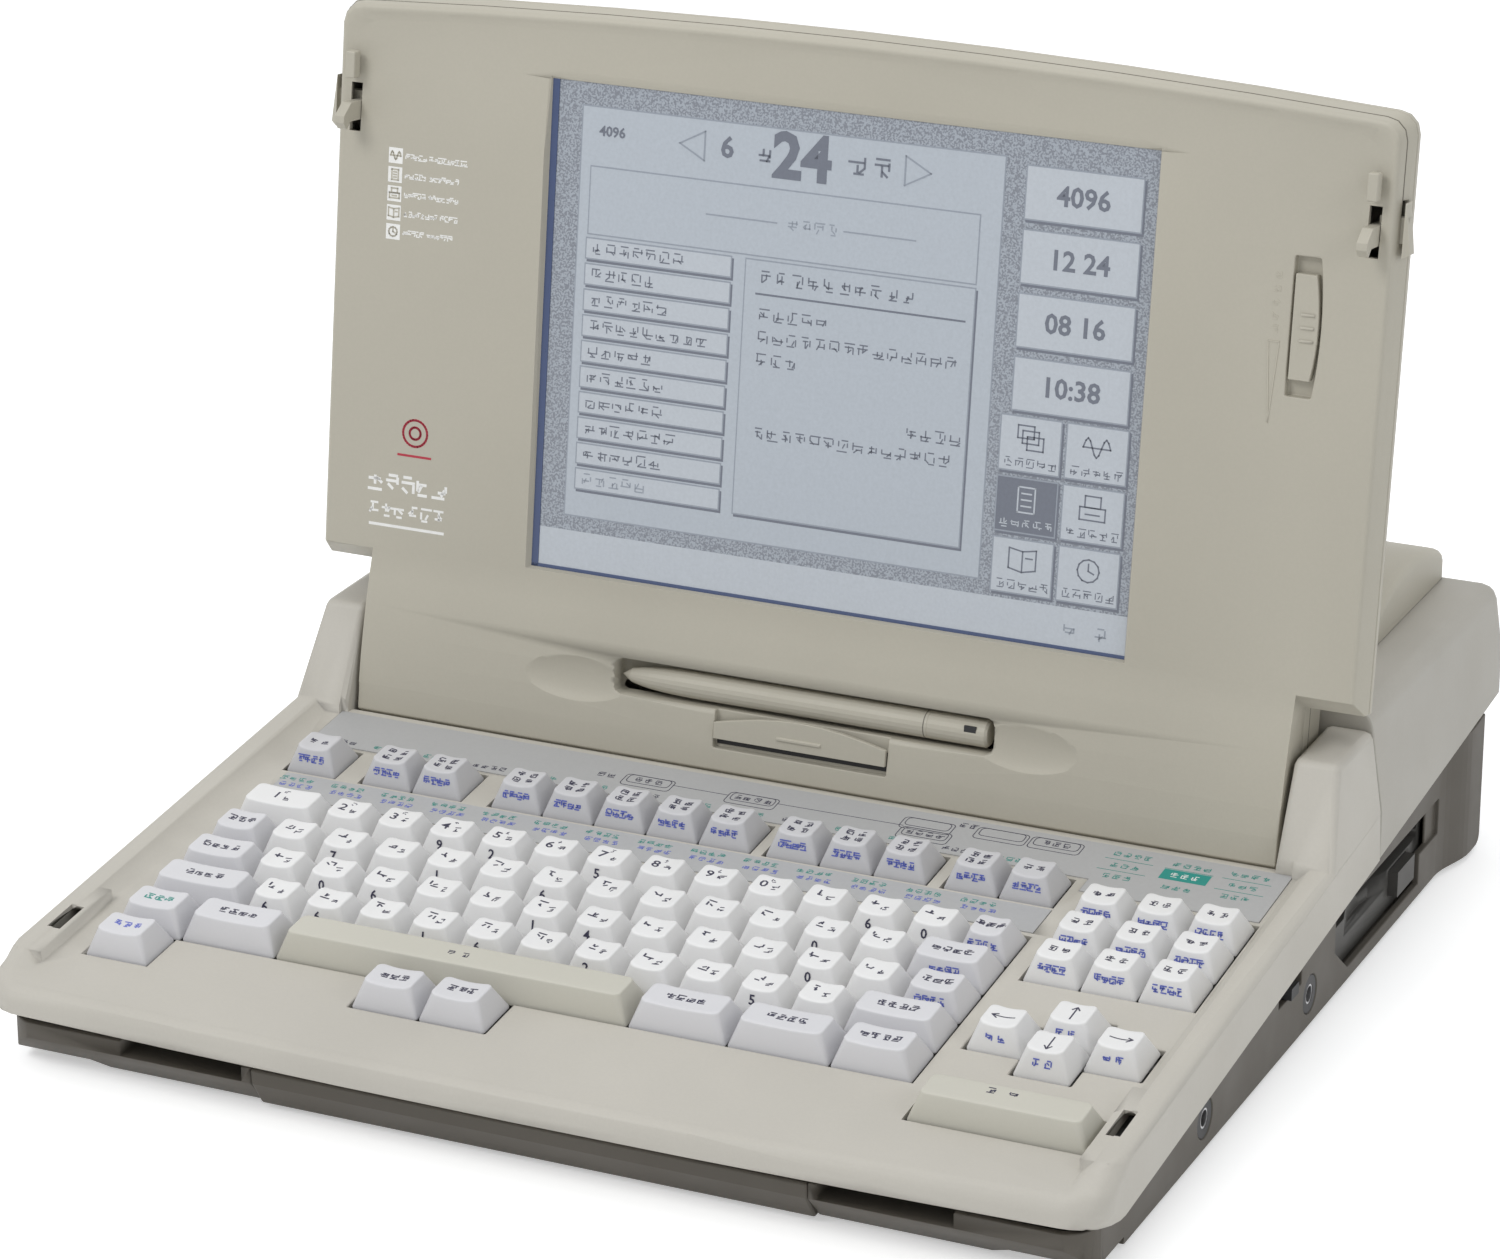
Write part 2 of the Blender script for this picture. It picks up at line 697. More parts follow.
def soften(thing, width, steps=EDGE_STEPS):
    """Round the edges that turn sharply."""
    bevel = thing.modifiers.new("Soft edges", "BEVEL")
    bevel.width = width
    bevel.segments = steps
    bevel.limit_method = "ANGLE"
    bevel.angle_limit = SOFT_ANGLE
    return thing


def smooth(thing):
    thing.data.shade_smooth()
    thing.data.set_sharp_from_angle(angle=SOFT_ANGLE)
    return thing


def arc(centre, radius, start, end, steps=ARC_STEPS):
    """Points along an arc in a plane."""
    points = []
    for index in range(steps + 1):
        angle = start + (end - start) * index / steps
        points.append((centre[0] + radius * math.cos(angle), centre[1] + radius * math.sin(angle)))
    return points


def mirror_x(low, high):
    """The same box on the other side of the middle."""
    return (-high[0], low[1], low[2]), (-low[0], high[1], high[2])


def key_left(share):
    return MAIN_RIGHT + share * KEY_PITCH


# Every key of the board as (name or None, left, front, width), the size being one pitch deep
def key_list():
    keys = []
    for front, left, widths, names in MAIN_ROW_SHARES:
        for index, width in enumerate(widths):
            keys.append((names.get(index), key_left(left), front * KEY_PITCH, width * KEY_PITCH))
            left += width
    for left, count in FUNCTION_GROUP_SHARES:
        for index in range(count):
            keys.append((None, key_left(left + index), FUNCTION_ROW_FRONT_SHARE * KEY_PITCH, KEY_PITCH))
    pad_left, pad_front = EDIT_PAD_SHARE
    for row in range(EDIT_PAD_COUNT):
        for column in range(EDIT_PAD_COUNT):
            keys.append((None, key_left(pad_left + column), (pad_front + row) * KEY_PITCH, KEY_PITCH))
    for name, left, front in (("arrow_key_down", 1, 0), ("arrow_key_left", 0, 0.5),
                              ("arrow_key_right", 2, 0.5), ("arrow_key_up", 1, 1)):
        keys.append((name, key_left(ARROW_LEFT_SHARE + left), (ARROW_FRONT_SHARE + front) * KEY_PITCH,
                     KEY_PITCH))
    left, front, width = EXECUTE_SHARE
    keys.append(("execute_bar", key_left(left), front * KEY_PITCH, width * KEY_PITCH))
    return keys


KEYS = key_list()


def ring_xy(low_x, high_x, low_y, high_y, height):
    return [Vector((low_x, low_y, height)), Vector((high_x, low_y, height)),
            Vector((high_x, high_y, height)), Vector((low_x, high_y, height))]


def key_rings(left, front, width, stem_end):
    """Rings of one key: stem, skirt, slopes and the softened top."""
    gap = KEY_GAP / 2
    x0, x1 = left + gap, left + width - gap
    y0, y1 = front + gap, front + KEY_PITCH - gap
    middle_x, middle_y = (x0 + x1) / 2, (y0 + y1) / 2
    stem = (middle_x - STEM_HALF, middle_x + STEM_HALF, middle_y - STEM_HALF, middle_y + STEM_HALF)
    top = (x0 + KEY_SIDE_SLOPE, x1 - KEY_SIDE_SLOPE, y0 + KEY_FRONT_SLOPE, y1 - KEY_BACK_SLOPE)
    soft = (top[0] + KEY_SOFT_INSET, top[1] - KEY_SOFT_INSET, top[2] + KEY_SOFT_INSET,
            top[3] - KEY_SOFT_INSET)
    return [ring_xy(*stem, stem_end), ring_xy(*stem, -KEY_SKIRT), ring_xy(x0, x1, y0, y1, -KEY_SKIRT),
            ring_xy(*top, KEY_RISE - KEY_SOFT), ring_xy(*soft, KEY_RISE)]


def key_middle(left, front, width):
    return Vector((left + width / 2, front + KEY_PITCH / 2, 0))


def key_finish(name):
    if name in ("space_bar", "execute_bar"):
        return "key_beige"
    if name.startswith("arrow"):
        return "key_white"
    return "key_grey"


def make_keyboard():
    """Plate with the letter keys on their stems, and each travelling key by itself."""
    plate = box("keyboard_plate", (-PLATE_LEFT, -PLATE_FRONT, -PLATE_TOP - PLATE_THICK),
                (PLATE_RIGHT, PLATE_BACK, -PLATE_TOP), DECK_FRAME)
    shape = bmesh.new()
    holes = []
    for name, left, front, width in KEYS:
        middle = key_middle(left, front, width)
        if name:
            tail = -PLATE_TOP - PLATE_THICK - STEM_TAIL
            key = loft(name, key_rings(left, front, width, tail), DECK_FRAME)
            keep(key, name, key_finish(name), middle)
            reach = STEM_HALF + SEAT_GAP
            holes.append(((middle.x - reach, middle.y - reach, -PLATE_TOP - PLATE_THICK - OVERRUN),
                          (middle.x + reach, middle.y + reach, -PLATE_TOP + OVERRUN)))
            continue
        rings = key_rings(left, front, width, -PLATE_TOP - PLATE_THICK / 2)
        rows = [[shape.verts.new(point) for point in ring] for ring in rings]
        for row, following in zip(rows, rows[1:]):
            for index in range(len(row)):
                beside = (index + 1) % len(row)
                shape.faces.new((row[index], row[beside], following[beside], following[index]))
        shape.faces.new(rows[0])
        shape.faces.new(rows[-1])
    caps = piece("letter_keys", mesh_from(shape, "letter_keys"), DECK_FRAME)
    join(plate, caps)
    cut(plate, boxes("stem_holes", holes, DECK_FRAME))
    keep(plate, "keyboard_plate", "key_white")


def well_spans():
    """Openings of the deck round each group of keys, and the annexes that widen them."""
    low, high = -WELL_DEPTH, WELL_DEPTH
    margin = WELL_MARGIN

    def well(left, front, wide, deep):
        return ((key_left(left) - margin, front * KEY_PITCH - margin, low),
                (key_left(left + wide) + margin, (front + deep) * KEY_PITCH + margin, high))

    main_front, main_left, widths, _ = MAIN_ROW_SHARES[0]
    groups = [well(main_left, 0, sum(widths), main_front + 1)]
    for left, count in FUNCTION_GROUP_SHARES:
        groups.append(well(left, FUNCTION_ROW_FRONT_SHARE, count, 1))
    groups.append(well(*EDIT_PAD_SHARE, EDIT_PAD_COUNT, EDIT_PAD_COUNT))
    groups.append(well(ARROW_LEFT_SHARE, ARROW_FRONT_SHARE + ARROW_WELL_SHARE, ARROW_COUNT, 1))
    left, front, width = EXECUTE_SHARE
    groups.append(well(left, front, width, 1))
    annexes = [well(left, front, sum(widths), 1) for front, left, widths, _ in MAIN_ROW_SHARES[-2:]]
    annexes.append(well(ARROW_LEFT_SHARE + 1, ARROW_FRONT_SHARE, 1, 2))
    return groups, annexes


def front_setback(across):
    """How far the nose draws back from the middle towards the corners."""
    reach = abs(across)
    setback = BOW * (reach / HALF) ** 2
    into = reach - (HALF - CORNER)
    if into > 0:
        setback += CORNER - math.sqrt(max(CORNER ** 2 - into ** 2, 0))
    return setback


def deck_rise(across):
    """Height of the rail at a distance from the middle."""
    reach = abs(across)
    if reach <= RAIL_FOOT:
        return 0.0
    if reach < RAIL_CREST:
        return RAIL_RISE * (reach - RAIL_FOOT) / (RAIL_CREST - RAIL_FOOT)
    if reach > RAIL_EDGE:
        return RAIL_RISE - EDGE_DROP * (reach - RAIL_EDGE) / (HALF - RAIL_EDGE)
    return RAIL_RISE


def ramp(across, start, low, high):
    """Soft rise of the rail's front end."""
    run = RAIL_START - RAIL_FULL
    return [Vector((across, start + run * share, low + (high - low) * share * share * (3 - 2 * share)))
            for share in RAMP_SHARES]


def make_deck_slab():
    """Solid of the front case, one section after another across its width."""
    half_stations = [RAIL_FOOT / 3, RAIL_FOOT * 2 / 3, RAIL_FOOT, RAIL_CREST, RAIL_EDGE, HALF]
    half_stations += [HALF - CORNER * (1 - math.sin(turn * DEG)) for turn in CORNER_TURN_SHARES]
    half_stations.sort()
    stations = [-place for place in reversed(half_stations)] + [0] + half_stations
    rings = []
    for across in stations:
        back = front_setback(across)
        rise = deck_rise(across)
        drop = max(RAIL_RISE - rise, 0) if abs(across) > RAIL_CREST else 0
        rings.append([
            Vector((across, back - LIP_REACH, -LIP_DROP)),
            Vector((across, back - NOSE_REACH, -NOSE_LOW)),
            Vector((across, back - NOSE_REACH, -NOSE_HIGH)),
            Vector((across, back - NOSE_REACH + NOSE_ROUND, -NOSE_ROUND - drop)),
            Vector((across, back - NOSE_REACH + NOSE_RUN, -drop)),
            *ramp(across, max(back - NOSE_REACH + NOSE_RUN, -RAIL_START) + WELD * 2, -drop, rise),
            Vector((across, DECK_END, rise)),
            Vector((across, DECK_END, -LIP_DROP)),
        ])
    return loft("upper_case", rings, DECK_FRAME)


def lean_cutters(name, inset):
    """Wedges that lean the sides of the ears and the rear housing inwards above the deck's edge line."""
    top = EAR_TOP * 2
    ear_rise = EAR_TOP * math.cos(DECK_TILT) - DECK_END * math.sin(DECK_TILT) - EDGE_LINE
    lean = EAR_LEAN / ear_rise * (top - EDGE_LINE)
    wall = HALF - inset
    wedges = []
    for side in (-1, 1):
        outline = [(side * wall, EDGE_LINE), (side * (HALF + OVERRUN), EDGE_LINE),
                   (side * (HALF + OVERRUN), top), (side * (wall - lean), top)]
        wedges.append(prism_y(name, outline, EAR_FRONT - 2 * OVERRUN, CASE_REAR + 2 * OVERRUN, DECK_FRAME))
    return wedges


def ear_block(name, side, inner, inset, foot):
    """Ear before its side leans: the slope up from the deck, the top and the back."""
    back = EAR_BACK - inset
    outline = [(EAR_FRONT + inset, foot), (EAR_FRONT + inset, EAR_FRONT_LOW),
               (EAR_TOP_FRONT + inset, EAR_TOP - inset), (back, EAR_TOP - inset), (back, foot)]
    near, far = sorted((side * inner, side * (HALF - inset - EAR_STEP)))
    return prism_x(name, outline, near, far, CASE_FRAME)


def make_upper_case():
    case = make_deck_slab()
    behind = (HALF + OVERRUN, DECK_END + 4 * OVERRUN, HOUSING_TOP)
    for side in (-1, 1):
        ear = ear_block("ear", side, EAR_INNER, 0, EAR_ROOT)
        cut(ear, *lean_cutters("ear_lean", 0))
        soften(ear, EAR_SOFT)
        cut(ear, box("ear_end", (-HALF - OVERRUN, DECK_END - 2 * SEAT_GAP, -OVERRUN), behind, CASE_FRAME))
        join(case, ear)
    pads = [((PAD_INNER, -PAD_FRONT, -WALL), (PAD_OUTER, PAD_BACK, PAD_RISE))]
    pads.append(mirror_x(*pads[0]))
    join(case, boxes("catch_pads", pads, DECK_FRAME))

    trough = [(HINGE_BACK - TROUGH_RADIUS, TROUGH_TOP)]
    trough += arc((HINGE_BACK, HINGE_UP), TROUGH_RADIUS, math.pi, 2 * math.pi, 2 * ARC_STEPS)
    trough += [(HINGE_BACK + TROUGH_RADIUS, TROUGH_TOP)]
    cut(case, prism_x("trough", trough, -EAR_INNER, EAR_INNER, CASE_FRAME))

    hollow_half = HALF - RIM_WALL
    hollow = prism_x("deck_hollow", [
        (-LIP_REACH + BOW + WALL, -LIP_DROP - OVERRUN),
        (-NOSE_REACH + BOW + 2 * WALL, -NOSE_LOW),
        (-NOSE_REACH + BOW + 2 * WALL, -NOSE_HIGH),
        (-NOSE_REACH + BOW + NOSE_RUN + WALL, -WALL),
        (DECK_END - WALL, -WALL),
        (DECK_END - WALL, -LIP_DROP - OVERRUN),
    ], -hollow_half, hollow_half, DECK_FRAME)
    rib_left = key_left(0) + WELL_MARGIN + SEAT_GAP
    ribs = [((rib_left, 0, -PLATE_TOP + SEAT_GAP), (rib_left + RIB_WIDTH, FRAME_RIB_END, WALL)),
            ((-PLATE_LEFT - RIB_WIDTH / 3, 0, -PLATE_TOP + SEAT_GAP),
             (key_left(FUNCTION_GROUP_SHARES[0][0]) - WELL_MARGIN - SEAT_GAP, FRAME_RIB_END, WALL))]
    cut(hollow, boxes("deck_ribs", ribs, DECK_FRAME))
    shell_half = EAR_INNER + WALL
    cut(hollow, rod("trough_shell", TROUGH_RADIUS + WALL, -shell_half, shell_half, HINGE_BACK, HINGE_UP,
                    CASE_FRAME, 2 * ROUND_SIDES))
    cut(case, hollow)
    for side in (-1, 1):
        room = ear_block("ear_hollow", side, EAR_INNER + WALL, WALL, EAR_ROOT + SEAT_GAP)
        cut(room, *lean_cutters("ear_hollow_lean", WALL))
        cut(room, box("ear_hollow_end", (-HALF, DECK_END - WALL, -OVERRUN), behind, CASE_FRAME))
        cut(case, room)
    cut(case, rod("hinge_holes", PIN_RADIUS + SEAT_GAP, -PIN_END, PIN_END, HINGE_BACK, HINGE_UP, CASE_FRAME))
    room = ((PAD_INNER + PAD_SKIN, -PAD_FRONT + PAD_SKIN, -WELL_DEPTH),
            (PAD_OUTER - PAD_SKIN, PAD_BACK - PAD_SKIN, PAD_RISE - PAD_SKIN))
    cut(case, boxes("catch_rooms", [room, mirror_x(*room)], DECK_FRAME))
    for name, spans in zip(("key_wells", "well_annexes"), well_spans()):
        cut(case, boxes(name, spans, DECK_FRAME))

    catch = ((CATCH_X - CATCH_WIDTH / 2, -CATCH_FRONT, -WELL_DEPTH),
             (CATCH_X + CATCH_WIDTH / 2, CATCH_BACK, WELL_DEPTH))
    cut(case, boxes("catch_slots", [catch, mirror_x(*catch)], DECK_FRAME))
    for name, outline in legend_outlines(SEAT_GAP).items():
        cut(case, prism_z(name + "_pocket", outline, -LEGEND_DEPTH, OVERRUN, DECK_FRAME))
    keep(case, "upper_case", "case_plastic")


FRAME_RIB_END = PLATE_BACK - RIB_WIDTH


def legend_outlines(margin):
    """Outlines of the two printed strips, grown by a margin for their pockets."""
    left, back = -LEGEND_LEFT - margin, LEGEND_BACK + margin
    right = LEGEND_RIGHT + margin
    upper = [(left, LEGEND_FRONT - margin), (LEGEND_PAD_LEFT - margin, LEGEND_FRONT - margin),
             (LEGEND_PAD_LEFT - margin, LEGEND_PAD_FRONT - margin), (right, LEGEND_PAD_FRONT - margin),
             (right, back), (left, back)]
    low_left = key_left(MAIN_ROW_SHARES[0][1]) - margin
    low_right = key_left(0) + margin
    lower = [(low_left, LEGEND_LOW_FRONT - margin), (low_right, LEGEND_LOW_FRONT - margin),
             (low_right, LEGEND_LOW_BACK + margin), (low_left, LEGEND_LOW_BACK + margin)]
    return {"legend_plate_upper": upper, "legend_plate_lower": lower}


def make_legend_plates():
    low = -LEGEND_DEPTH + SEAT_GAP
    for name, outline in legend_outlines(0).items():
        keep(prism_z(name, outline, low, low + LEGEND_THICK, DECK_FRAME), name, "legend_grey")


def lower_outline(inset, top_lift):
    """Side outline of the lower case, inset for its hollow and open above the parting line."""
    bottom = -BASE_DROP + inset
    rear = REAR_WALL - inset
    front = -FRONT_TOP + inset
    corner = REAR_ROUND - inset
    outline = [(front, parting(-FRONT_TOP, top_lift)), (-FRONT_MIDDLE + inset, -FRONT_MIDDLE_DROP),
               (-FRONT_BOTTOM + inset, bottom)]
    outline += arc((rear - corner, bottom + corner), corner, -math.pi / 2, 0)
    outline += [(rear, parting(REAR_WALL, top_lift))]
    return outline


def skirt_outline(side):
    """What the side wall gives up below the rim: straight, then sweeping out to the rear part."""
    far = HALF + OVERRUN
    outline = [(side * far, -NOSE_REACH - OVERRUN), (side * SKIRT_HALF, -NOSE_REACH - OVERRUN)]
    for index in range(ARC_STEPS + 1):
        share = index / ARC_STEPS
        sweep = SKIRT_INSET * (1 - math.cos(math.pi * share)) / 2
        outline.append((side * (SKIRT_HALF + sweep), FLUSH_START + (FLUSH_END - FLUSH_START) * share))
    return outline + [(side * far, FLUSH_END)]


def corner_outline(side, inset):
    """What the front corner of the lower case gives up, seen from above."""
    centre = (SKIRT_HALF - LOWER_CORNER, -FRONT_TOP + LOWER_CORNER)
    far = SKIRT_HALF + OVERRUN
    front = -FRONT_TOP - OVERRUN
    points = [(far, front), (far, centre[1])] + arc(centre, LOWER_CORNER - inset, 0, -math.pi / 2)
    return [(side * across, back) for across, back in points + [(centre[0], front)]]


def make_lower_case():
    case = prism_x("lower_case", lower_outline(0, 2 * OVERRUN), -HALF, HALF, CASE_FRAME)
    low, high = -BASE_DROP - OVERRUN, HOUSING_TOP
    for side in (-1, 1):
        cut(case, prism_z("skirt_step", skirt_outline(side), low, high, CASE_FRAME))
        cut(case, prism_z("front_corner", corner_outline(side, 0), low, high, CASE_FRAME))
        raised = [(RAISE_START, -BASE_DROP), (RAISE_FULL, -BASE_DROP + RAISE_HEIGHT),
                  (HALF + OVERRUN, -BASE_DROP + RAISE_HEIGHT), (HALF + OVERRUN, low), (RAISE_START, low)]
        cut(case, prism_y("raised_underside", [(side * across, up) for across, up in raised],
                          -NOSE_REACH, -RAISE_BACK, CASE_FRAME))
    front, rear = -NOSE_REACH - OVERRUN, CASE_REAR + OVERRUN
    above = [(front, parting(front, -SEAT_GAP)), (rear, parting(rear, -SEAT_GAP)), (rear, HOUSING_TOP),
             (front, HOUSING_TOP)]
    reach = HALF + OVERRUN
    cut(case, prism_x("parting_plane", above, -reach, reach, CASE_FRAME))
    hollow = prism_x("lower_hollow", lower_outline(WALL, OVERRUN), -SKIRT_INNER, SKIRT_INNER, CASE_FRAME)
    for side in (-1, 1):
        cut(hollow, prism_z("hollow_corner", corner_outline(side, WALL), low, high, CASE_FRAME))
    lifted = ((RAISE_START - WALL, -NOSE_REACH, low),
              (HALF, -RAISE_BACK + WALL, -BASE_DROP + RAISE_HEIGHT + WALL))
    cut(hollow, boxes("raised_floors", [lifted, mirror_x(*lifted)], CASE_FRAME))
    floor = -BASE_DROP + WALL

    # The handle's recess keeps its own wall, and so do the standoffs
    cheek = HANDLE_HALF + SEAT_GAP
    wall_back = -HANDLE_BACK + SEAT_GAP + WALL
    solid = [((-cheek - WALL, -NOSE_REACH, -BASE_DROP - WALL), (cheek + WALL, wall_back, OVERRUN))]
    cut(hollow, boxes("handle_wall", solid, CASE_FRAME))
    for side in (-1, 1):
        near, far = sorted((side * (FINGER_NEAR - WALL), side * (FINGER_FAR + WALL)))
        top = parting(-FRONT_TOP)
        cut(hollow, box("finger_wall", (near, -NOSE_REACH, top - FINGER_HEIGHT - WALL),
                        (far, -FRONT_TOP + FINGER_DEPTH + WALL, OVERRUN), CASE_FRAME))
    board_posts = [(side * (BOARD_HALF - POST_RADIUS * 2), place) for side in (-1, 1)
                   for place in (BOARD_FRONT + POST_RADIUS * 2, BOARD_BACK - POST_RADIUS * 2)]
    cut(hollow, posts("board_posts", POST_RADIUS, board_posts, floor - WALL / 2, floor + BOARD_CLEAR,
                      CASE_FRAME))
    frame_posts = [(0, FRAME_FRONT + POST_RADIUS * 2), (0, FRAME_BACK - POST_RADIUS * 5),
                   (-FRAME_HALF * 2 / 3, FRAME_BACK - POST_RADIUS * 5)]
    cut(hollow, posts("frame_posts", POST_RADIUS, frame_posts, floor - WALL / 2, -FRAME_FLOOR - SEAT_GAP,
                      CASE_FRAME))
    cut(case, hollow)

    recess = box("handle_recess", (-cheek, -NOSE_REACH, -BASE_DROP - OVERRUN),
                 (cheek, -HANDLE_BACK + SEAT_GAP, OVERRUN), CASE_FRAME)
    cut(case, recess)
    arm_low = floor + SEAT_GAP
    arms = [((ARM_INNER - SEAT_GAP, -HANDLE_BACK - OVERRUN, arm_low - SEAT_GAP),
             (ARM_OUTER + SEAT_GAP, wall_back + OVERRUN, arm_low + ARM_HEIGHT + SEAT_GAP))]
    arms.append(mirror_x(*arms[0]))
    cut(case, boxes("arm_holes", arms, CASE_FRAME))
    top = parting(-FRONT_TOP)
    fingers = [((FINGER_NEAR, -NOSE_REACH, top - FINGER_HEIGHT),
                (FINGER_FAR, -FRONT_TOP + FINGER_DEPTH, OVERRUN))]
    fingers.append(mirror_x(*fingers[0]))
    cut(case, boxes("finger_gaps", fingers, CASE_FRAME))

    side_low = SKIRT_HALF - WALL * 2
    chamfer_run, chamfer_rise = WINDOW_CHAMFER
    step_run, step_rise = WINDOW_STEP
    frame_run, frame_deep = WINDOW_FRAME
    window = [(WINDOW_FRONT, -DRIVE_HIGH), (WINDOW_FRONT, -WINDOW_LOW + chamfer_rise),
              (WINDOW_FRONT + chamfer_run, -WINDOW_LOW), (WINDOW_BACK - step_run, -WINDOW_LOW),
              (WINDOW_BACK - step_run, -WINDOW_LOW + step_rise), (WINDOW_BACK, -WINDOW_LOW + step_rise),
              (WINDOW_BACK, -DRIVE_HIGH)]
    cut(case, prism_x("drive_window", window, side_low, HALF + OVERRUN, CASE_FRAME))
    rim = ((SKIRT_HALF - frame_deep, WINDOW_BACK - WALL, -WINDOW_LOW + step_rise),
           (HALF + OVERRUN, WINDOW_BACK + frame_run, -DRIVE_HIGH))
    slot_long, slot_high = VOLUME_SLOT
    volume = ((side_low, VOLUME_BACK - slot_long / 2, -VOLUME_DROP - slot_high / 2),
              (HALF + OVERRUN, VOLUME_BACK + slot_long / 2, -VOLUME_DROP + slot_high / 2))
    inlet = ((-INLET_X - INLET_HALF - SEAT_GAP, REAR_WALL - WALL * 2, -INLET_LOW - SEAT_GAP),
             (-INLET_X + INLET_HALF + SEAT_GAP, REAR_WALL + OVERRUN, -INLET_HIGH + SEAT_GAP))
    switch_up = -(INLET_LOW + INLET_HIGH) / 2
    switch = ((SWITCH_X - SWITCH_HALF - SEAT_GAP, REAR_WALL - WALL * 2,
               switch_up - SWITCH_LENGTH / 2 - SEAT_GAP),
              (SWITCH_X + SWITCH_HALF + SEAT_GAP, REAR_WALL + OVERRUN,
               switch_up + SWITCH_LENGTH / 2 + SEAT_GAP))
    cut(case, boxes("wall_openings", [rim, volume, inlet, switch], CASE_FRAME))
    for back, drop in JACK_PLACES:
        cut(case, rod("jack_hole", JACK_RADIUS + SEAT_GAP, side_low, HALF + OVERRUN, back, -drop,
                      CASE_FRAME))
    feet = [(side * FOOT_X, place) for side in (-1, 1) for place in (FOOT_FRONT, FOOT_BACK)]
    cut(case, posts("foot_pockets", FOOT_RADIUS + SEAT_GAP, feet, -BASE_DROP - OVERRUN,
                    -BASE_DROP + FOOT_LET_IN, CASE_FRAME, ROUND_SIDES))
    keep(case, "lower_case", "lower_plastic")


def make_feet():
    names = {(-1, FOOT_FRONT): "foot_front_left", (1, FOOT_FRONT): "foot_front_right",
             (-1, FOOT_BACK): "foot_rear_left", (1, FOOT_BACK): "foot_rear_right"}
    for (side, place), name in names.items():
        foot = posts(name, FOOT_RADIUS, [(side * FOOT_X, place)], -BASE_DROP - FOOT_HEIGHT,
                     -BASE_DROP + FOOT_LET_IN - SEAT_GAP, CASE_FRAME, ROUND_SIDES)
        keep(foot, name, "rubber")


def make_handle():
    grip = [(-FRONT_TOP, parting(-FRONT_TOP) - 2 * SEAT_GAP), (-FRONT_MIDDLE, -FRONT_MIDDLE_DROP),
            (-FRONT_BOTTOM - WALL, -BASE_DROP), (-HANDLE_BACK, -BASE_DROP),
            (-HANDLE_BACK, parting(-FRONT_TOP) - 2 * SEAT_GAP)]
    handle = prism_x("front_handle", grip, -HANDLE_HALF, HANDLE_HALF, CASE_FRAME)
    low = -BASE_DROP + WALL + SEAT_GAP
    arms = [((ARM_INNER, -HANDLE_BACK - WALL, low), (ARM_OUTER, ARM_END, low + ARM_HEIGHT))]
    arms.append(mirror_x(*arms[0]))
    join(handle, boxes("handle_arms", arms, CASE_FRAME))
    keep(handle, "front_handle", "lower_plastic")


def make_rear_housing():
    """Housing made too long at its front and foot, rounded, and then trimmed to its neighbours."""
    front = HOUSING_FRONT - 2 * OVERRUN
    outline = [(front, -OVERRUN), (front, HOUSING_TOP), (CASE_REAR, HOUSING_TOP), (CASE_REAR, -OVERRUN)]
    housing = prism_x("rear_housing", outline, -HALF, HALF, CASE_FRAME)
    cut(housing, *lean_cutters("housing_lean", 0))
    soften(housing, HOUSING_ROUND, HOUSING_ROUND_STEPS)
    reach = HALF + OVERRUN
    rear = CASE_REAR + OVERRUN
    below = [(front - OVERRUN, parting(front - OVERRUN, SEAT_GAP)), (front - OVERRUN, -4 * OVERRUN),
             (rear, -4 * OVERRUN), (rear, parting(rear, SEAT_GAP))]
    cut(housing, prism_x("housing_foot", below, -reach, reach, CASE_FRAME))
    cut(housing, box("housing_front", (-reach, front - OVERRUN, -OVERRUN),
                     (reach, HOUSING_FRONT, HOUSING_TOP + OVERRUN), CASE_FRAME))
    edge = [(HOUSING_FRONT - OVERRUN, HOUSING_TOP + OVERRUN),
            (HOUSING_FRONT - OVERRUN, HOUSING_TOP - HOUSING_EDGE - OVERRUN),
            (HOUSING_FRONT + HOUSING_EDGE + OVERRUN, HOUSING_TOP + OVERRUN)]
    cut(housing, prism_x("housing_edge", edge, -reach, reach, CASE_FRAME))
    near, far, sill = HOUSING_FRONT + WALL, CASE_REAR - WALL, REAR_WALL - WALL
    inner = [(near, parting(near, -OVERRUN)), (near, HOUSING_TOP - WALL), (far, HOUSING_TOP - WALL),
             (far, parting(CASE_REAR, WALL)), (sill, parting(sill, WALL)), (sill, parting(sill, -OVERRUN))]
    half = HALF - RIM_WALL
    cut(housing, prism_x("housing_hollow", inner, -half, half, CASE_FRAME))
    low, high = HOUSING_TOP - WALL - OVERRUN, HOUSING_TOP + OVERRUN
    bay = ((-BAY_HALF, BAY_FRONT, low), (BAY_HALF, BAY_BACK, high))
    paper = ((-PAPER_HALF, PAPER_FRONT, low), (PAPER_HALF, PAPER_BACK, high))
    cut(housing, boxes("housing_openings", [bay, paper], CASE_FRAME))
    keep(housing, "rear_housing", "case_plastic")


def lid_arch(inset):
    """Side outline of the domed printer lid, carried down past its seat."""
    low = HOUSING_TOP + SEAT_GAP
    front, back = PLID_FRONT + inset, PLID_BACK - inset
    outline = [(front, low - OVERRUN)]
    for index in range(ARC_STEPS + 1):
        place = front + (back - front) * index / ARC_STEPS
        fall = PLID_RADIUS - math.sqrt(PLID_RADIUS ** 2 - (place - PLID_CREST_BACK) ** 2)
        outline.append((place, low + PLID_CREST - fall - inset))
    return outline + [(back, low - OVERRUN)]


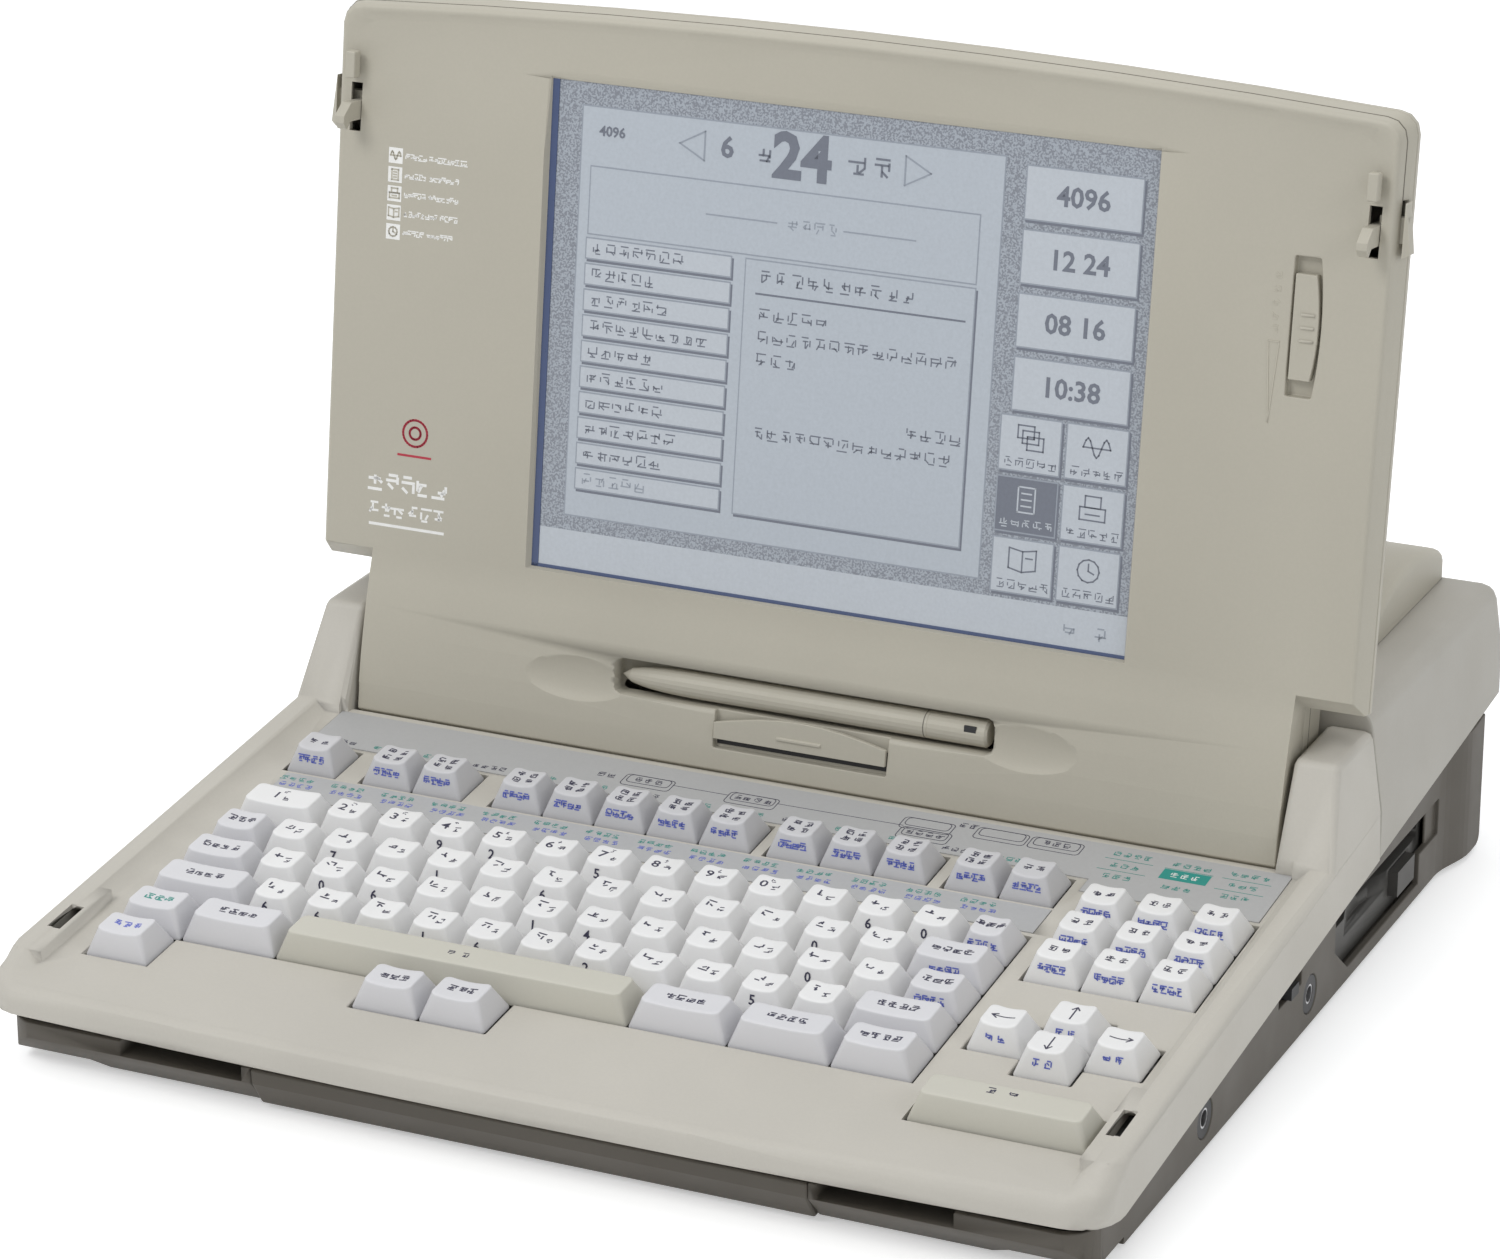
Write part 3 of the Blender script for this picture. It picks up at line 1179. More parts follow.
def make_printer_lid():
    low = HOUSING_TOP + SEAT_GAP
    lid = prism_x("printer_lid", lid_arch(0), -PLID_HALF, PLID_HALF, CASE_FRAME)
    soften(lid, PLID_ROUND, HOUSING_ROUND_STEPS)
    inner = PLID_HALF - WALL
    cut(lid, prism_x("printer_lid_hollow", lid_arch(WALL), -inner, inner, CASE_FRAME))
    reach = PLID_HALF + OVERRUN
    cut(lid, box("printer_lid_foot", (-reach, PLID_FRONT - OVERRUN, low - 2 * OVERRUN),
                 (reach, PLID_BACK + OVERRUN, low), CASE_FRAME))
    keep(lid, "printer_lid", "lid_plastic", Vector((0, PLID_BACK, low)))


def lid_ring(depth, inset, foot):
    """Outline of the display lid at one depth behind its face."""
    half = HALF - inset
    low = foot
    corner = LID_CORNER

    def top(across):
        return LID_TOP - inset - LID_ARCH * (across / HALF) ** 2

    side_top = top(half - corner)
    points = [(-half, low), (half, low)]
    points += arc((half - corner, side_top - corner), corner, 0, math.pi / 2, 3)
    steps = ARC_STEPS
    for index in range(1, steps):
        across = (half - corner) * (1 - 2 * index / steps)
        points.append((across, top(across)))
    points += arc((-half + corner, side_top - corner), corner, math.pi / 2, math.pi, 3)
    return [Vector((across, along, -depth)) for across, along in points]


def neck_outline(inset, near, far):
    """Side outline of the neck between two depths behind the face: along the lid, then outwards."""
    centre = (HINGE_ALONG, -HINGE_DEPTH)
    radius = NECK_RADIUS - inset
    points = []
    join_along = LID_FOOT + 2 * WALL

    def arc_angle(out):
        lean = (out - centre[1]) / radius
        return math.pi - math.asin(max(min(lean, 1), -1))

    if near is None:
        points.append((join_along, -WALL / 3 - inset))
        run = LID_FOOT - NECK_END
        for index in range(NECK_STEPS + 1):
            share = index / NECK_STEPS
            bulge = NECK_BULGE * (1 - (1 - share) ** NECK_CURVE_SHARE)
            points.append((LID_FOOT - run * share, bulge - inset))
        points[-1] = (max(points[-1][0],
                          centre[0] - radius * math.cos(math.asin((NECK_BULGE - inset - centre[1])
                                                                  / radius))),
                      NECK_BULGE - inset)
        start = arc_angle(NECK_BULGE - inset)
    else:
        points.append((join_along, -near))
        start = arc_angle(-near)
    end = arc_angle(-far)
    points += arc(centre, radius, start, end)[0 if near is not None else 1:]
    points.append((join_along, -far))
    return points


def make_lid_bezel():
    slope = [(0, FACE_INSET, LID_FOOT), (FACE_ROUND, FACE_ROUND_INSET, LID_FOOT - FACE_ROUND / 2),
             (FOOT_SLOPE_DEPTH, FACE_ROUND_INSET / 4, LID_FOOT - FOOT_SLOPE_RUN),
             (LID_SPLIT - SEAT_GAP / 2, 0, LID_FOOT - FOOT_SLOPE_RUN)]
    bezel = loft("lid_bezel", [lid_ring(*step) for step in slope], LID_FRAME)
    join(bezel, prism_x("neck_front", neck_outline(0, None, LID_SPLIT - SEAT_GAP / 2), -NECK_HALF, NECK_HALF,
                        LID_FRAME))
    rib = ((HOOK_X - HOOK_THICK / 2, STOP_LOW, -WALL / 2), (HOOK_X + HOOK_THICK / 2, STOP_HIGH, STOP_REACH))
    join(bezel, boxes("closing_stops", [rib, mirror_x(*rib)], LID_FRAME))

    inner = [(WALL, FACE_INSET + WALL, LID_FOOT + WALL / 2),
             (FOOT_SLOPE_DEPTH, FACE_ROUND_INSET / 4 + WALL, LID_FOOT - FOOT_SLOPE_RUN + WALL),
             (LID_SPLIT + OVERRUN, WALL, LID_FOOT - FOOT_SLOPE_RUN + WALL)]
    hollow = loft("bezel_hollow", [lid_ring(*step) for step in inner], LID_FRAME)
    neck_inner = NECK_HALF - WALL
    join(hollow, prism_x("neck_hollow", neck_outline(WALL, None, LID_SPLIT + OVERRUN), -neck_inner,
                         neck_inner, LID_FRAME))
    pocket_x, pocket_along, pocket_deep = CONTRAST_POCKET
    backing = [((-TRAY_LEFT - WALL, TRAY_LOW - WALL, -TRAY_FLOOR - WALL),
                (TRAY_RIGHT + WALL, TRAY_HIGH + WALL, 2 * NECK_BULGE)),
               ((CONTRAST_X - pocket_x / 2 - WALL, CONTRAST_MIDDLE - pocket_along / 2 - WALL,
                 -pocket_deep - WALL),
                (CONTRAST_X + pocket_x / 2 + WALL, CONTRAST_MIDDLE + pocket_along / 2 + WALL, WALL))]
    cut(hollow, boxes("pocket_backs", backing, LID_FRAME))
    flap_back = ((-FLAP_LEFT - WALL, FLAP_RECESS_LOW - WALL, NECK_BULGE - FLAP_RECESS - 2 * WALL),
                 (FLAP_RIGHT + WALL, TRAY_LOW + WALL, 2 * NECK_BULGE))
    cut(hollow, box("flap_back", *flap_back, LID_FRAME))
    cut(bezel, hollow)

    low, high = SCREEN_LOW, SCREEN_HIGH
    flare = SCREEN_FLARE
    window = [[Vector((-SCREEN_HALF - grow, low - grow / 2, depth)),
               Vector((SCREEN_HALF + grow, low - grow / 2, depth)),
               Vector((SCREEN_HALF + grow, high + grow * 2, depth)),
               Vector((-SCREEN_HALF - grow, high + grow * 2, depth))]
              for grow, depth in ((0, -WALL - OVERRUN), (0, -WALL), (flare, SEAT_GAP), (flare, OVERRUN))]
    cut(bezel, loft("screen_window", window, LID_FRAME))
    tray = box("pen_tray", (-TRAY_LEFT, TRAY_LOW, -TRAY_FLOOR),
               (TRAY_RIGHT, TRAY_HIGH, NECK_BULGE + OVERRUN), LID_FRAME)
    soften(tray, WALL, 2)
    cut(bezel, tray)
    cut(bezel, box("flap_recess", (-FLAP_LEFT - SEAT_GAP, FLAP_RECESS_LOW, NECK_BULGE - FLAP_RECESS),
                   (FLAP_RIGHT + SEAT_GAP, TRAY_LOW + WALL, NECK_BULGE + OVERRUN), LID_FRAME))
    cut(bezel, prism_z("contrast_pocket", contrast_outline(pocket_x, pocket_along, 0), -pocket_deep, OVERRUN,
                       LID_FRAME))
    near, far = LATCH_SLOT_DEPTH
    slots = [((HOOK_X - HOOK_THICK / 2 - SEAT_GAP, HOOK_SLOT_LOW, -WALL - OVERRUN),
              (HOOK_X + HOOK_THICK / 2 + SEAT_GAP, HOOK_SLOT_HIGH, OVERRUN)),
             ((HOOK_X, LATCH_SLOT_LOW, -far), (HALF + OVERRUN, LATCH_SLOT_HIGH, -near))]
    slots += [mirror_x(*span) for span in slots]
    for index, span in enumerate(slots):
        cut(bezel, box("latch_slot_%d" % index, *span, LID_FRAME))
    cut(bezel, rod("neck_pin_holes", PIN_RADIUS + SEAT_GAP, -HALF, HALF, HINGE_ALONG, -HINGE_DEPTH,
                   LID_FRAME))
    keep(bezel, "lid_bezel", "lid_plastic")


def contrast_outline(wide, along, margin):
    """Slider outline: straight on the left, bowed on the right."""
    half_wide, half_along = wide / 2 - margin, along / 2 - margin
    points = [(CONTRAST_X - half_wide, CONTRAST_MIDDLE + half_along),
              (CONTRAST_X - half_wide, CONTRAST_MIDDLE - half_along)]
    for index in range(ARC_STEPS + 1):
        share = index / ARC_STEPS
        bow = CONTRAST_BOW * (1 - (2 * share - 1) ** 2)
        points.append((CONTRAST_X + half_wide - CONTRAST_BOW + bow,
                       CONTRAST_MIDDLE + half_along * (2 * share - 1)))
    return points


def make_contrast_slider():
    wide, along, thick = CONTRAST_KNOB
    deep = CONTRAST_POCKET[2]
    low = -deep + SEAT_GAP
    knob = prism_z("contrast_slider", contrast_outline(wide, along, 0), low, low + thick, LID_FRAME)
    ridge_wide, ridge_along, ridge_high = CONTRAST_RIDGE
    ridges = []
    for step in (-1, 0, 1):
        middle = CONTRAST_MIDDLE + step * CONTRAST_RIDGE_STEP
        ridges.append(((CONTRAST_X - ridge_wide / 3, middle - ridge_along / 2, low + thick - ridge_high),
                       (CONTRAST_X - ridge_wide / 3 + ridge_wide, middle + ridge_along / 2,
                        low + thick + ridge_high)))
    join(knob, boxes("contrast_ridges", ridges, LID_FRAME))
    keep(knob, "contrast_slider", "lid_plastic", Vector((CONTRAST_X, CONTRAST_MIDDLE, -deep)))


def make_lid_back():
    start = LID_SPLIT + SEAT_GAP / 2
    foot = LID_FOOT - FOOT_SLOPE_RUN
    outer = [(start, 0, foot), (BACK_STRAIGHT, 0, foot), (BACK_ROUND, BACK_ROUND_INSET, foot + WALL / 2),
             (LID_THICK, BACK_INSET, foot + 2 * WALL)]
    cover = loft("lid_back_cover", [lid_ring(*step) for step in outer], LID_FRAME)
    join(cover, prism_x("neck_back", neck_outline(0, start, LID_THICK), -NECK_HALF, NECK_HALF, LID_FRAME))
    inner = [(start - OVERRUN, WALL, foot + WALL), (BACK_STRAIGHT, WALL, foot + WALL),
             (BACK_ROUND - WALL / 2, BACK_ROUND_INSET + WALL, foot + WALL * 3 / 2),
             (LID_THICK - WALL, BACK_INSET + WALL / 2, foot + 3 * WALL)]
    hollow = loft("cover_hollow", [lid_ring(*step) for step in inner], LID_FRAME)
    neck_inner = NECK_HALF - WALL
    join(hollow, prism_x("neck_back_hollow", neck_outline(WALL, start - OVERRUN, LID_THICK - WALL),
                         -neck_inner, neck_inner, LID_FRAME))
    board_back = INVERTER_DEPTH + BOARD_THICK + SEAT_GAP
    places = [(side * (INVERTER_HALF - BOSS_RADIUS * 2), place) for side in (-1, 1)
              for place in (INVERTER_LOW + BOSS_RADIUS * 2, INVERTER_HIGH - BOSS_RADIUS * 2)]
    cut(hollow, posts("inverter_posts", BOSS_RADIUS, places, -LID_THICK, -board_back, LID_FRAME))
    cut(cover, hollow)
    cut(cover, rod("cover_pin_holes", PIN_RADIUS + SEAT_GAP, -HALF, HALF, HINGE_ALONG, -HINGE_DEPTH,
                   LID_FRAME))
    keep(cover, "lid_back_cover", "lid_plastic")


def make_screen():
    front = WALL + SEAT_GAP
    glass = box("touch_glass", (-SCREEN_HALF - GLASS_BORDER, SCREEN_LOW - GLASS_BORDER / 4,
                                -front - GLASS_THICK),
                (SCREEN_HALF + GLASS_BORDER, SCREEN_HIGH + GLASS_BORDER, -front), LID_FRAME)
    keep(glass, "touch_glass", "glass")
    front += GLASS_THICK + SEAT_GAP
    panel = box("lcd_panel", (-SCREEN_HALF - PANEL_BORDER, SCREEN_LOW - GLASS_BORDER / 4,
                              -front - PANEL_THICK),
                (SCREEN_HALF + PANEL_BORDER, SCREEN_HIGH + PANEL_BORDER, -front), LID_FRAME)
    keep(panel, "lcd_panel", "panel")
    board = box("inverter_board", (-INVERTER_HALF, INVERTER_LOW, -INVERTER_DEPTH - BOARD_THICK),
                (INVERTER_HALF, INVERTER_HIGH, -INVERTER_DEPTH), LID_FRAME)
    coils = [((side * INVERTER_HALF / 2 - CHIP_HALF, INVERTER_LOW + WALL, -INVERTER_DEPTH - BOARD_THICK / 2),
              (side * INVERTER_HALF / 2 + CHIP_HALF, INVERTER_HIGH - WALL,
               -INVERTER_DEPTH + CHIP_HEIGHT)) for side in (-1, 1)]
    join(board, boxes("inverter_coils", coils, LID_FRAME))
    keep(board, "inverter_board", "board")


def make_latches():
    for side, name in ((-1, "latch_left"), (1, "latch_right")):
        hook = [(HOOK_LOW, -HOOK_DEPTH), (HOOK_LOW, HOOK_REACH - HOOK_BARB * 2),
                (HOOK_LOW - HOOK_BARB, HOOK_REACH - HOOK_BARB),
                (HOOK_LOW, HOOK_REACH), (HOOK_LOW + HOOK_BARB, HOOK_REACH),
                (HOOK_HIGH, HOOK_REACH - HOOK_BARB * 2),
                (HOOK_HIGH, -HOOK_DEPTH)]
        middle = side * HOOK_X
        latch = prism_x(name, hook, middle - HOOK_THICK / 2, middle + HOOK_THICK / 2, LID_FRAME)
        near, far = LATCH_SLOT_DEPTH
        lift = LATCH_TRAVEL
        reach = sorted((middle, side * (HALF + KNOB_PROUD / 2)))
        arm = box("latch_arm", (reach[0], LATCH_SLOT_LOW + SEAT_GAP, -far + SEAT_GAP),
                  (reach[1], LATCH_SLOT_HIGH - lift - SEAT_GAP, -near - SEAT_GAP), LID_FRAME)
        join(latch, arm)
        base = HALF + SEAT_GAP
        ring_low = [Vector((side * base, KNOB_LOW, -KNOB_DEPTH[1])),
                    Vector((side * base, KNOB_HIGH, -KNOB_DEPTH[1])),
                    Vector((side * base, KNOB_HIGH, -KNOB_DEPTH[0])),
                    Vector((side * base, KNOB_LOW, -KNOB_DEPTH[0]))]
        tip = HALF + KNOB_PROUD
        shrink = KNOB_PROUD / 2
        ring_high = [Vector((side * tip, KNOB_LOW + shrink, -KNOB_DEPTH[1] + shrink)),
                     Vector((side * (base + SEAT_GAP), KNOB_HIGH - shrink, -KNOB_DEPTH[1] + shrink)),
                     Vector((side * (base + SEAT_GAP), KNOB_HIGH - shrink, -KNOB_DEPTH[0] - shrink)),
                     Vector((side * tip, KNOB_LOW + shrink, -KNOB_DEPTH[0] - shrink))]
        join(latch, loft("latch_knob", [ring_low, ring_high], LID_FRAME))
        keep(latch, name, "lid_plastic", Vector((middle, (HOOK_LOW + HOOK_HIGH) / 2, 0)))


def make_pen():
    """Pen lying in the tray: rounded tip on the left, plain cap with a step on the right."""
    step = SEAT_GAP / 2
    profile = [(0, PEN_LENGTH)]
    profile += [(PEN_RADIUS - WALL / 3, PEN_LENGTH), (PEN_RADIUS, PEN_LENGTH - WALL / 3),
                (PEN_RADIUS, PEN_LENGTH - PEN_CAP),
                (PEN_RADIUS - step, PEN_LENGTH - PEN_CAP - step),
                (PEN_RADIUS, PEN_LENGTH - PEN_CAP - 2 * step)]
    for index in range(ARC_STEPS + 1):
        share = index / ARC_STEPS
        height = PEN_TIP * (1 - share)
        profile.append((PEN_RADIUS * math.sqrt(max(1 - share ** PEN_END_SHARE, 0)), height))
    turn = Matrix.Translation((PEN_START, PEN_ALONG, PEN_CENTRE_OUT)) @ Matrix.Rotation(math.pi / 2, 4, "Y")
    pen = turned("stylus", profile, turn, LID_FRAME)
    keep(pen, "stylus", "lid_plastic")


def make_flap():
    """Crescent flap below the pen, with a finger ridge."""
    outline = [(-FLAP_LEFT, FLAP_LOW)]
    outline += [(FLAP_RIGHT, FLAP_LOW)]
    for index in range(ARC_STEPS + 1):
        share = index / ARC_STEPS
        across = FLAP_RIGHT - (FLAP_LEFT + FLAP_RIGHT) * share
        outline.append((across, FLAP_SHOULDER + (FLAP_CREST - FLAP_SHOULDER) * math.sin(math.pi * share)))
    low = NECK_BULGE - FLAP_THICK + FLAP_PROUD
    flap = prism_z("pen_flap", outline, low, low + FLAP_THICK, LID_FRAME)
    long, high, proud = FLAP_RIDGE
    middle = (FLAP_RIGHT - FLAP_LEFT) / 2
    ridge_along = FLAP_LOW + high * 3
    join(flap, box("flap_ridge", (middle - long / 2, ridge_along, low + FLAP_THICK / 2),
                   (middle + long / 2, ridge_along + high, low + FLAP_THICK + proud), LID_FRAME))
    keep(flap, "pen_flap", "lid_plastic", Vector((middle, FLAP_LOW, low)))


def make_hinges():
    for side, tag in ((-1, "left"), (1, "right")):
        left, right = sorted((side * PIN_START, side * PIN_END))
        pin = rod("hinge_pin_" + tag, PIN_RADIUS, left, right, HINGE_BACK, HINGE_UP, CASE_FRAME)
        keep(pin, "hinge_pin_" + tag, "steel")
        inner, outer = sorted((side * (EAR_INNER + WALL + SEAT_GAP), side * BRACKET_OUTER))
        bracket = box("hinge_bracket_" + tag, (inner, BRACKET_FRONT, BRACKET_LOW),
                      (outer, BRACKET_BACK, BRACKET_HIGH), CASE_FRAME)
        leg = box("bracket_leg", (inner, BRACKET_LEG_FRONT, -BASE_DROP + WALL + SEAT_GAP),
                  (outer, BRACKET_LEG_BACK, BRACKET_LOW + WALL), CASE_FRAME)
        join(bracket, leg)
        cut(bracket, rod("bracket_bore", PIN_RADIUS + SEAT_GAP, inner - OVERRUN, outer + OVERRUN, HINGE_BACK,
                         HINGE_UP, CASE_FRAME))
        keep(bracket, "hinge_bracket_" + tag, "steel")


def make_printer_frame():
    frame = box("printer_frame", (-FRAME_HALF, FRAME_FRONT, -FRAME_FLOOR),
                (FRAME_HALF, FRAME_BACK, FRAME_TOP), CASE_FRAME)
    inner = FRAME_HALF - FRAME_SHEET
    spans = [((-inner, FRAME_FRONT - OVERRUN, -FRAME_FLOOR + FRAME_SHEET),
              (inner, FRAME_BACK + OVERRUN, FRAME_TOP + OVERRUN)),
             ((-FRAME_HALF - OVERRUN, FRAME_FRONT - OVERRUN, FRAME_SHEET),
              (FRAME_HALF + OVERRUN, FRAME_SIDE_FRONT, FRAME_TOP + OVERRUN))]
    for index, span in enumerate(spans):
        cut(frame, box("frame_space_%d" % index, *span, CASE_FRAME))
    reach = FRAME_HALF + OVERRUN
    cut(frame, rod("platen_bearing", SHAFT_RADIUS + SEAT_GAP, -reach, reach, PLATEN_BACK, PLATEN_UP,
                   CASE_FRAME))
    cut(frame, rod("guide_seat", GUIDE_RADIUS + SEAT_GAP, -reach, reach, GUIDE_BACK, GUIDE_UP, CASE_FRAME))
    back, up = drive_centre()
    cut(frame, rod("motor_seat", MOTOR_SHAFT + SEAT_GAP, 0, reach, back, up, CASE_FRAME, SMALL_SIDES))
    keep(frame, "printer_frame", "steel")


def drive_centre():
    spread = GEAR_MODULE * (PLATEN_TEETH + DRIVE_TEETH) / 2
    return PLATEN_BACK + spread * math.cos(DRIVE_ANGLE), PLATEN_UP + spread * math.sin(DRIVE_ANGLE)


def gear(name, teeth, centre, phase, bore):
    """Spur gear about x: each tooth is a trapezium on the pitch circle."""
    pitch_radius = GEAR_MODULE * teeth / 2
    tip = pitch_radius + GEAR_MODULE * GEAR_TIP_SHARE
    root = pitch_radius - GEAR_MODULE * GEAR_ROOT_SHARE
    step = 2 * math.pi / teeth
    half = step / 4 * (1 - GEAR_BACKLASH_SHARE)
    flank = GEAR_MODULE * math.tan(20 * DEG) / pitch_radius
    outline = []
    for index in range(teeth):
        angle = phase + index * step
        for radius, offset in ((root, -half - flank * GEAR_ROOT_SHARE),
                               (tip, -half + flank * GEAR_TIP_SHARE),
                               (tip, half - flank * GEAR_TIP_SHARE), (root, half + flank * GEAR_ROOT_SHARE)):
            outline.append((centre[0] + radius * math.cos(angle + offset),
                            centre[1] + radius * math.sin(angle + offset)))
    wheel = prism_x(name, outline, GEAR_START, GEAR_START + GEAR_THICK, CASE_FRAME)
    cut(wheel, rod(name + "_bore", bore + SEAT_GAP / 3, GEAR_START - OVERRUN,
                   GEAR_START + GEAR_THICK + OVERRUN,
                   centre[0], centre[1], CASE_FRAME, SMALL_SIDES))
    return wheel


def make_printer_drive():
    lengthwise = Matrix.Translation((-SHAFT_END, PLATEN_BACK, PLATEN_UP)) @ Matrix.Rotation(math.pi / 2, 4,
                                                                                            "Y")
    start = SHAFT_END - PLATEN_HALF
    end = SHAFT_END + PLATEN_HALF
    profile = [(0, 2 * SHAFT_END), (SHAFT_RADIUS, 2 * SHAFT_END), (SHAFT_RADIUS, end), (PLATEN_RADIUS, end),
               (PLATEN_RADIUS, start), (SHAFT_RADIUS, start), (SHAFT_RADIUS, 0), (0, 0)]
    keep(turned("platen_roller", profile, lengthwise, CASE_FRAME), "platen_roller", "rubber")
    platen = (PLATEN_BACK, PLATEN_UP)
    wheel = gear("platen_gear", PLATEN_TEETH, platen, DRIVE_ANGLE, SHAFT_RADIUS)
    keep(wheel, "platen_gear", "key_white", Vector((GEAR_START, *platen)))
    centre = drive_centre()
    phase = DRIVE_ANGLE + math.pi + math.pi / DRIVE_TEETH
    pinion = gear("drive_gear", DRIVE_TEETH, centre, phase, MOTOR_SHAFT)
    keep(pinion, "drive_gear", "key_white", Vector((GEAR_START, *centre)))
    motor_face = FRAME_HALF - FRAME_SHEET - SEAT_GAP
    motor = rod("printer_motor", MOTOR_RADIUS, motor_face - MOTOR_LENGTH, motor_face, *centre, CASE_FRAME)
    join(motor, rod("motor_shaft", MOTOR_SHAFT, motor_face - WALL, GEAR_START + GEAR_THICK + WALL, *centre,
                    CASE_FRAME, SMALL_SIDES))
    keep(motor, "printer_motor", "steel")
    shaft = rod("guide_shaft", GUIDE_RADIUS, -GUIDE_END, GUIDE_END, GUIDE_BACK, GUIDE_UP, CASE_FRAME)
    keep(shaft, "guide_shaft", "steel")


def make_carriage():
    carriage = box("print_carriage", (-CARRIAGE_HALF, CARRIAGE_FRONT, CARRIAGE_LOW),
                   (CARRIAGE_HALF, CARRIAGE_BACK, CARRIAGE_HIGH), CASE_FRAME)
    join(carriage, box("print_head", (-HEAD_HALF, CARRIAGE_BACK - WALL, HEAD_LOW),
                       (HEAD_HALF, HEAD_REACH, HEAD_HIGH), CASE_FRAME))
    cut(carriage, rod("carriage_bore", GUIDE_RADIUS + SEAT_GAP, -CARRIAGE_HALF - OVERRUN,
                      CARRIAGE_HALF + OVERRUN,
                      GUIDE_BACK, GUIDE_UP, CASE_FRAME))
    keep(carriage, "print_carriage", "dark_plastic")
    low = CARRIAGE_HIGH + SEAT_GAP
    notch = CARTRIDGE_NOTCH
    outline = [(-CARTRIDGE_HALF, CARTRIDGE_FRONT), (CARTRIDGE_HALF, CARTRIDGE_FRONT),
               (CARTRIDGE_HALF, CARTRIDGE_BACK),
               (CARTRIDGE_HALF - notch, CARTRIDGE_BACK),
               (CARTRIDGE_HALF - notch - WALL, CARTRIDGE_BACK - notch),
               (-CARTRIDGE_HALF + notch + WALL, CARTRIDGE_BACK - notch),
               (-CARTRIDGE_HALF + notch, CARTRIDGE_BACK),
               (-CARTRIDGE_HALF, CARTRIDGE_BACK)]
    keep(prism_z("ribbon_cassette", outline, low, low + CARTRIDGE_HEIGHT, CASE_FRAME), "ribbon_cassette",
         "dark_plastic")


def make_floppy_drive():
    drive = box("floppy_drive", (DRIVE_INNER, DRIVE_FRONT, -DRIVE_LOW),
                (DRIVE_FACE, DRIVE_BACK, -DRIVE_HIGH), CASE_FRAME)
    slot = ((DRIVE_FACE - DISK_DEPTH, DRIVE_FRONT + DISK_MARGIN, -DISK_LOW),
            (DRIVE_FACE + OVERRUN, DRIVE_BACK - DISK_MARGIN, -DISK_HIGH))
    button = ((DRIVE_FACE - EJECT_BODY - EJECT_TRAVEL - SEAT_GAP, EJECT_FRONT - SEAT_GAP,
               -EJECT_LOW - SEAT_GAP),
              (DRIVE_FACE + OVERRUN, EJECT_BACK + SEAT_GAP, -EJECT_HIGH + SEAT_GAP))
    cut(drive, boxes("drive_openings", [slot, button], CASE_FRAME))
    middle = (RELIEF_FRONT + RELIEF_BACK) / 2
    relief = [(DRIVE_FACE + OVERRUN, RELIEF_FRONT), (DRIVE_FACE + OVERRUN, RELIEF_BACK)]
    relief += [(DRIVE_FACE - RELIEF_DEEP * math.sin(math.pi * share / ARC_STEPS),
                RELIEF_BACK + (RELIEF_FRONT - RELIEF_BACK) * share / ARC_STEPS)
                for share in range(ARC_STEPS + 1)]
    cut(drive, prism_z("finger_relief", relief, -RELIEF_LOW, -DISK_HIGH + SEAT_GAP, CASE_FRAME))
    keep(drive, "floppy_drive", "dark_plastic")
    eject = box("floppy_eject_button", (DRIVE_FACE - EJECT_BODY, EJECT_FRONT, -EJECT_LOW),
                (DRIVE_FACE + EJECT_PROUD, EJECT_BACK, -EJECT_HIGH), CASE_FRAME)
    keep(eject, "floppy_eject_button", "key_grey",
         Vector((DRIVE_FACE, (EJECT_FRONT + EJECT_BACK) / 2, -(EJECT_LOW + EJECT_HIGH) / 2)))


def make_side_sockets():
    for (back, drop), name in zip(JACK_PLACES, ("side_jack_front", "side_jack_rear")):
        face = SKIRT_HALF - SEAT_GAP
        jack = rod(name, JACK_RADIUS, face - JACK_LENGTH, face, back, -drop, CASE_FRAME)
        cut(jack, rod(name + "_bore", JACK_BORE, face - JACK_BORE_DEPTH, face + OVERRUN, back, -drop,
                      CASE_FRAME, SMALL_SIDES))
        keep(jack, name, "dark_plastic")
    long, high, thick = VOLUME_PLATE
    wall_inner = SKIRT_HALF - WALL
    plate_face = wall_inner - SEAT_GAP
    slider = box("volume_slider", (plate_face - thick, VOLUME_BACK - long / 2, -VOLUME_DROP - high / 2),
                 (plate_face, VOLUME_BACK + long / 2, -VOLUME_DROP + high / 2), CASE_FRAME)
    knob_long, knob_high, proud = VOLUME_KNOB
    knob = box("volume_knob", (plate_face - thick / 2, VOLUME_BACK - knob_long / 2,
                               -VOLUME_DROP - knob_high / 2),
               (SKIRT_HALF + proud, VOLUME_BACK + knob_long / 2, -VOLUME_DROP + knob_high / 2), CASE_FRAME)
    join(slider, knob)
    keep(slider, "volume_slider", "dark_plastic", Vector((plate_face, VOLUME_BACK, -VOLUME_DROP)))


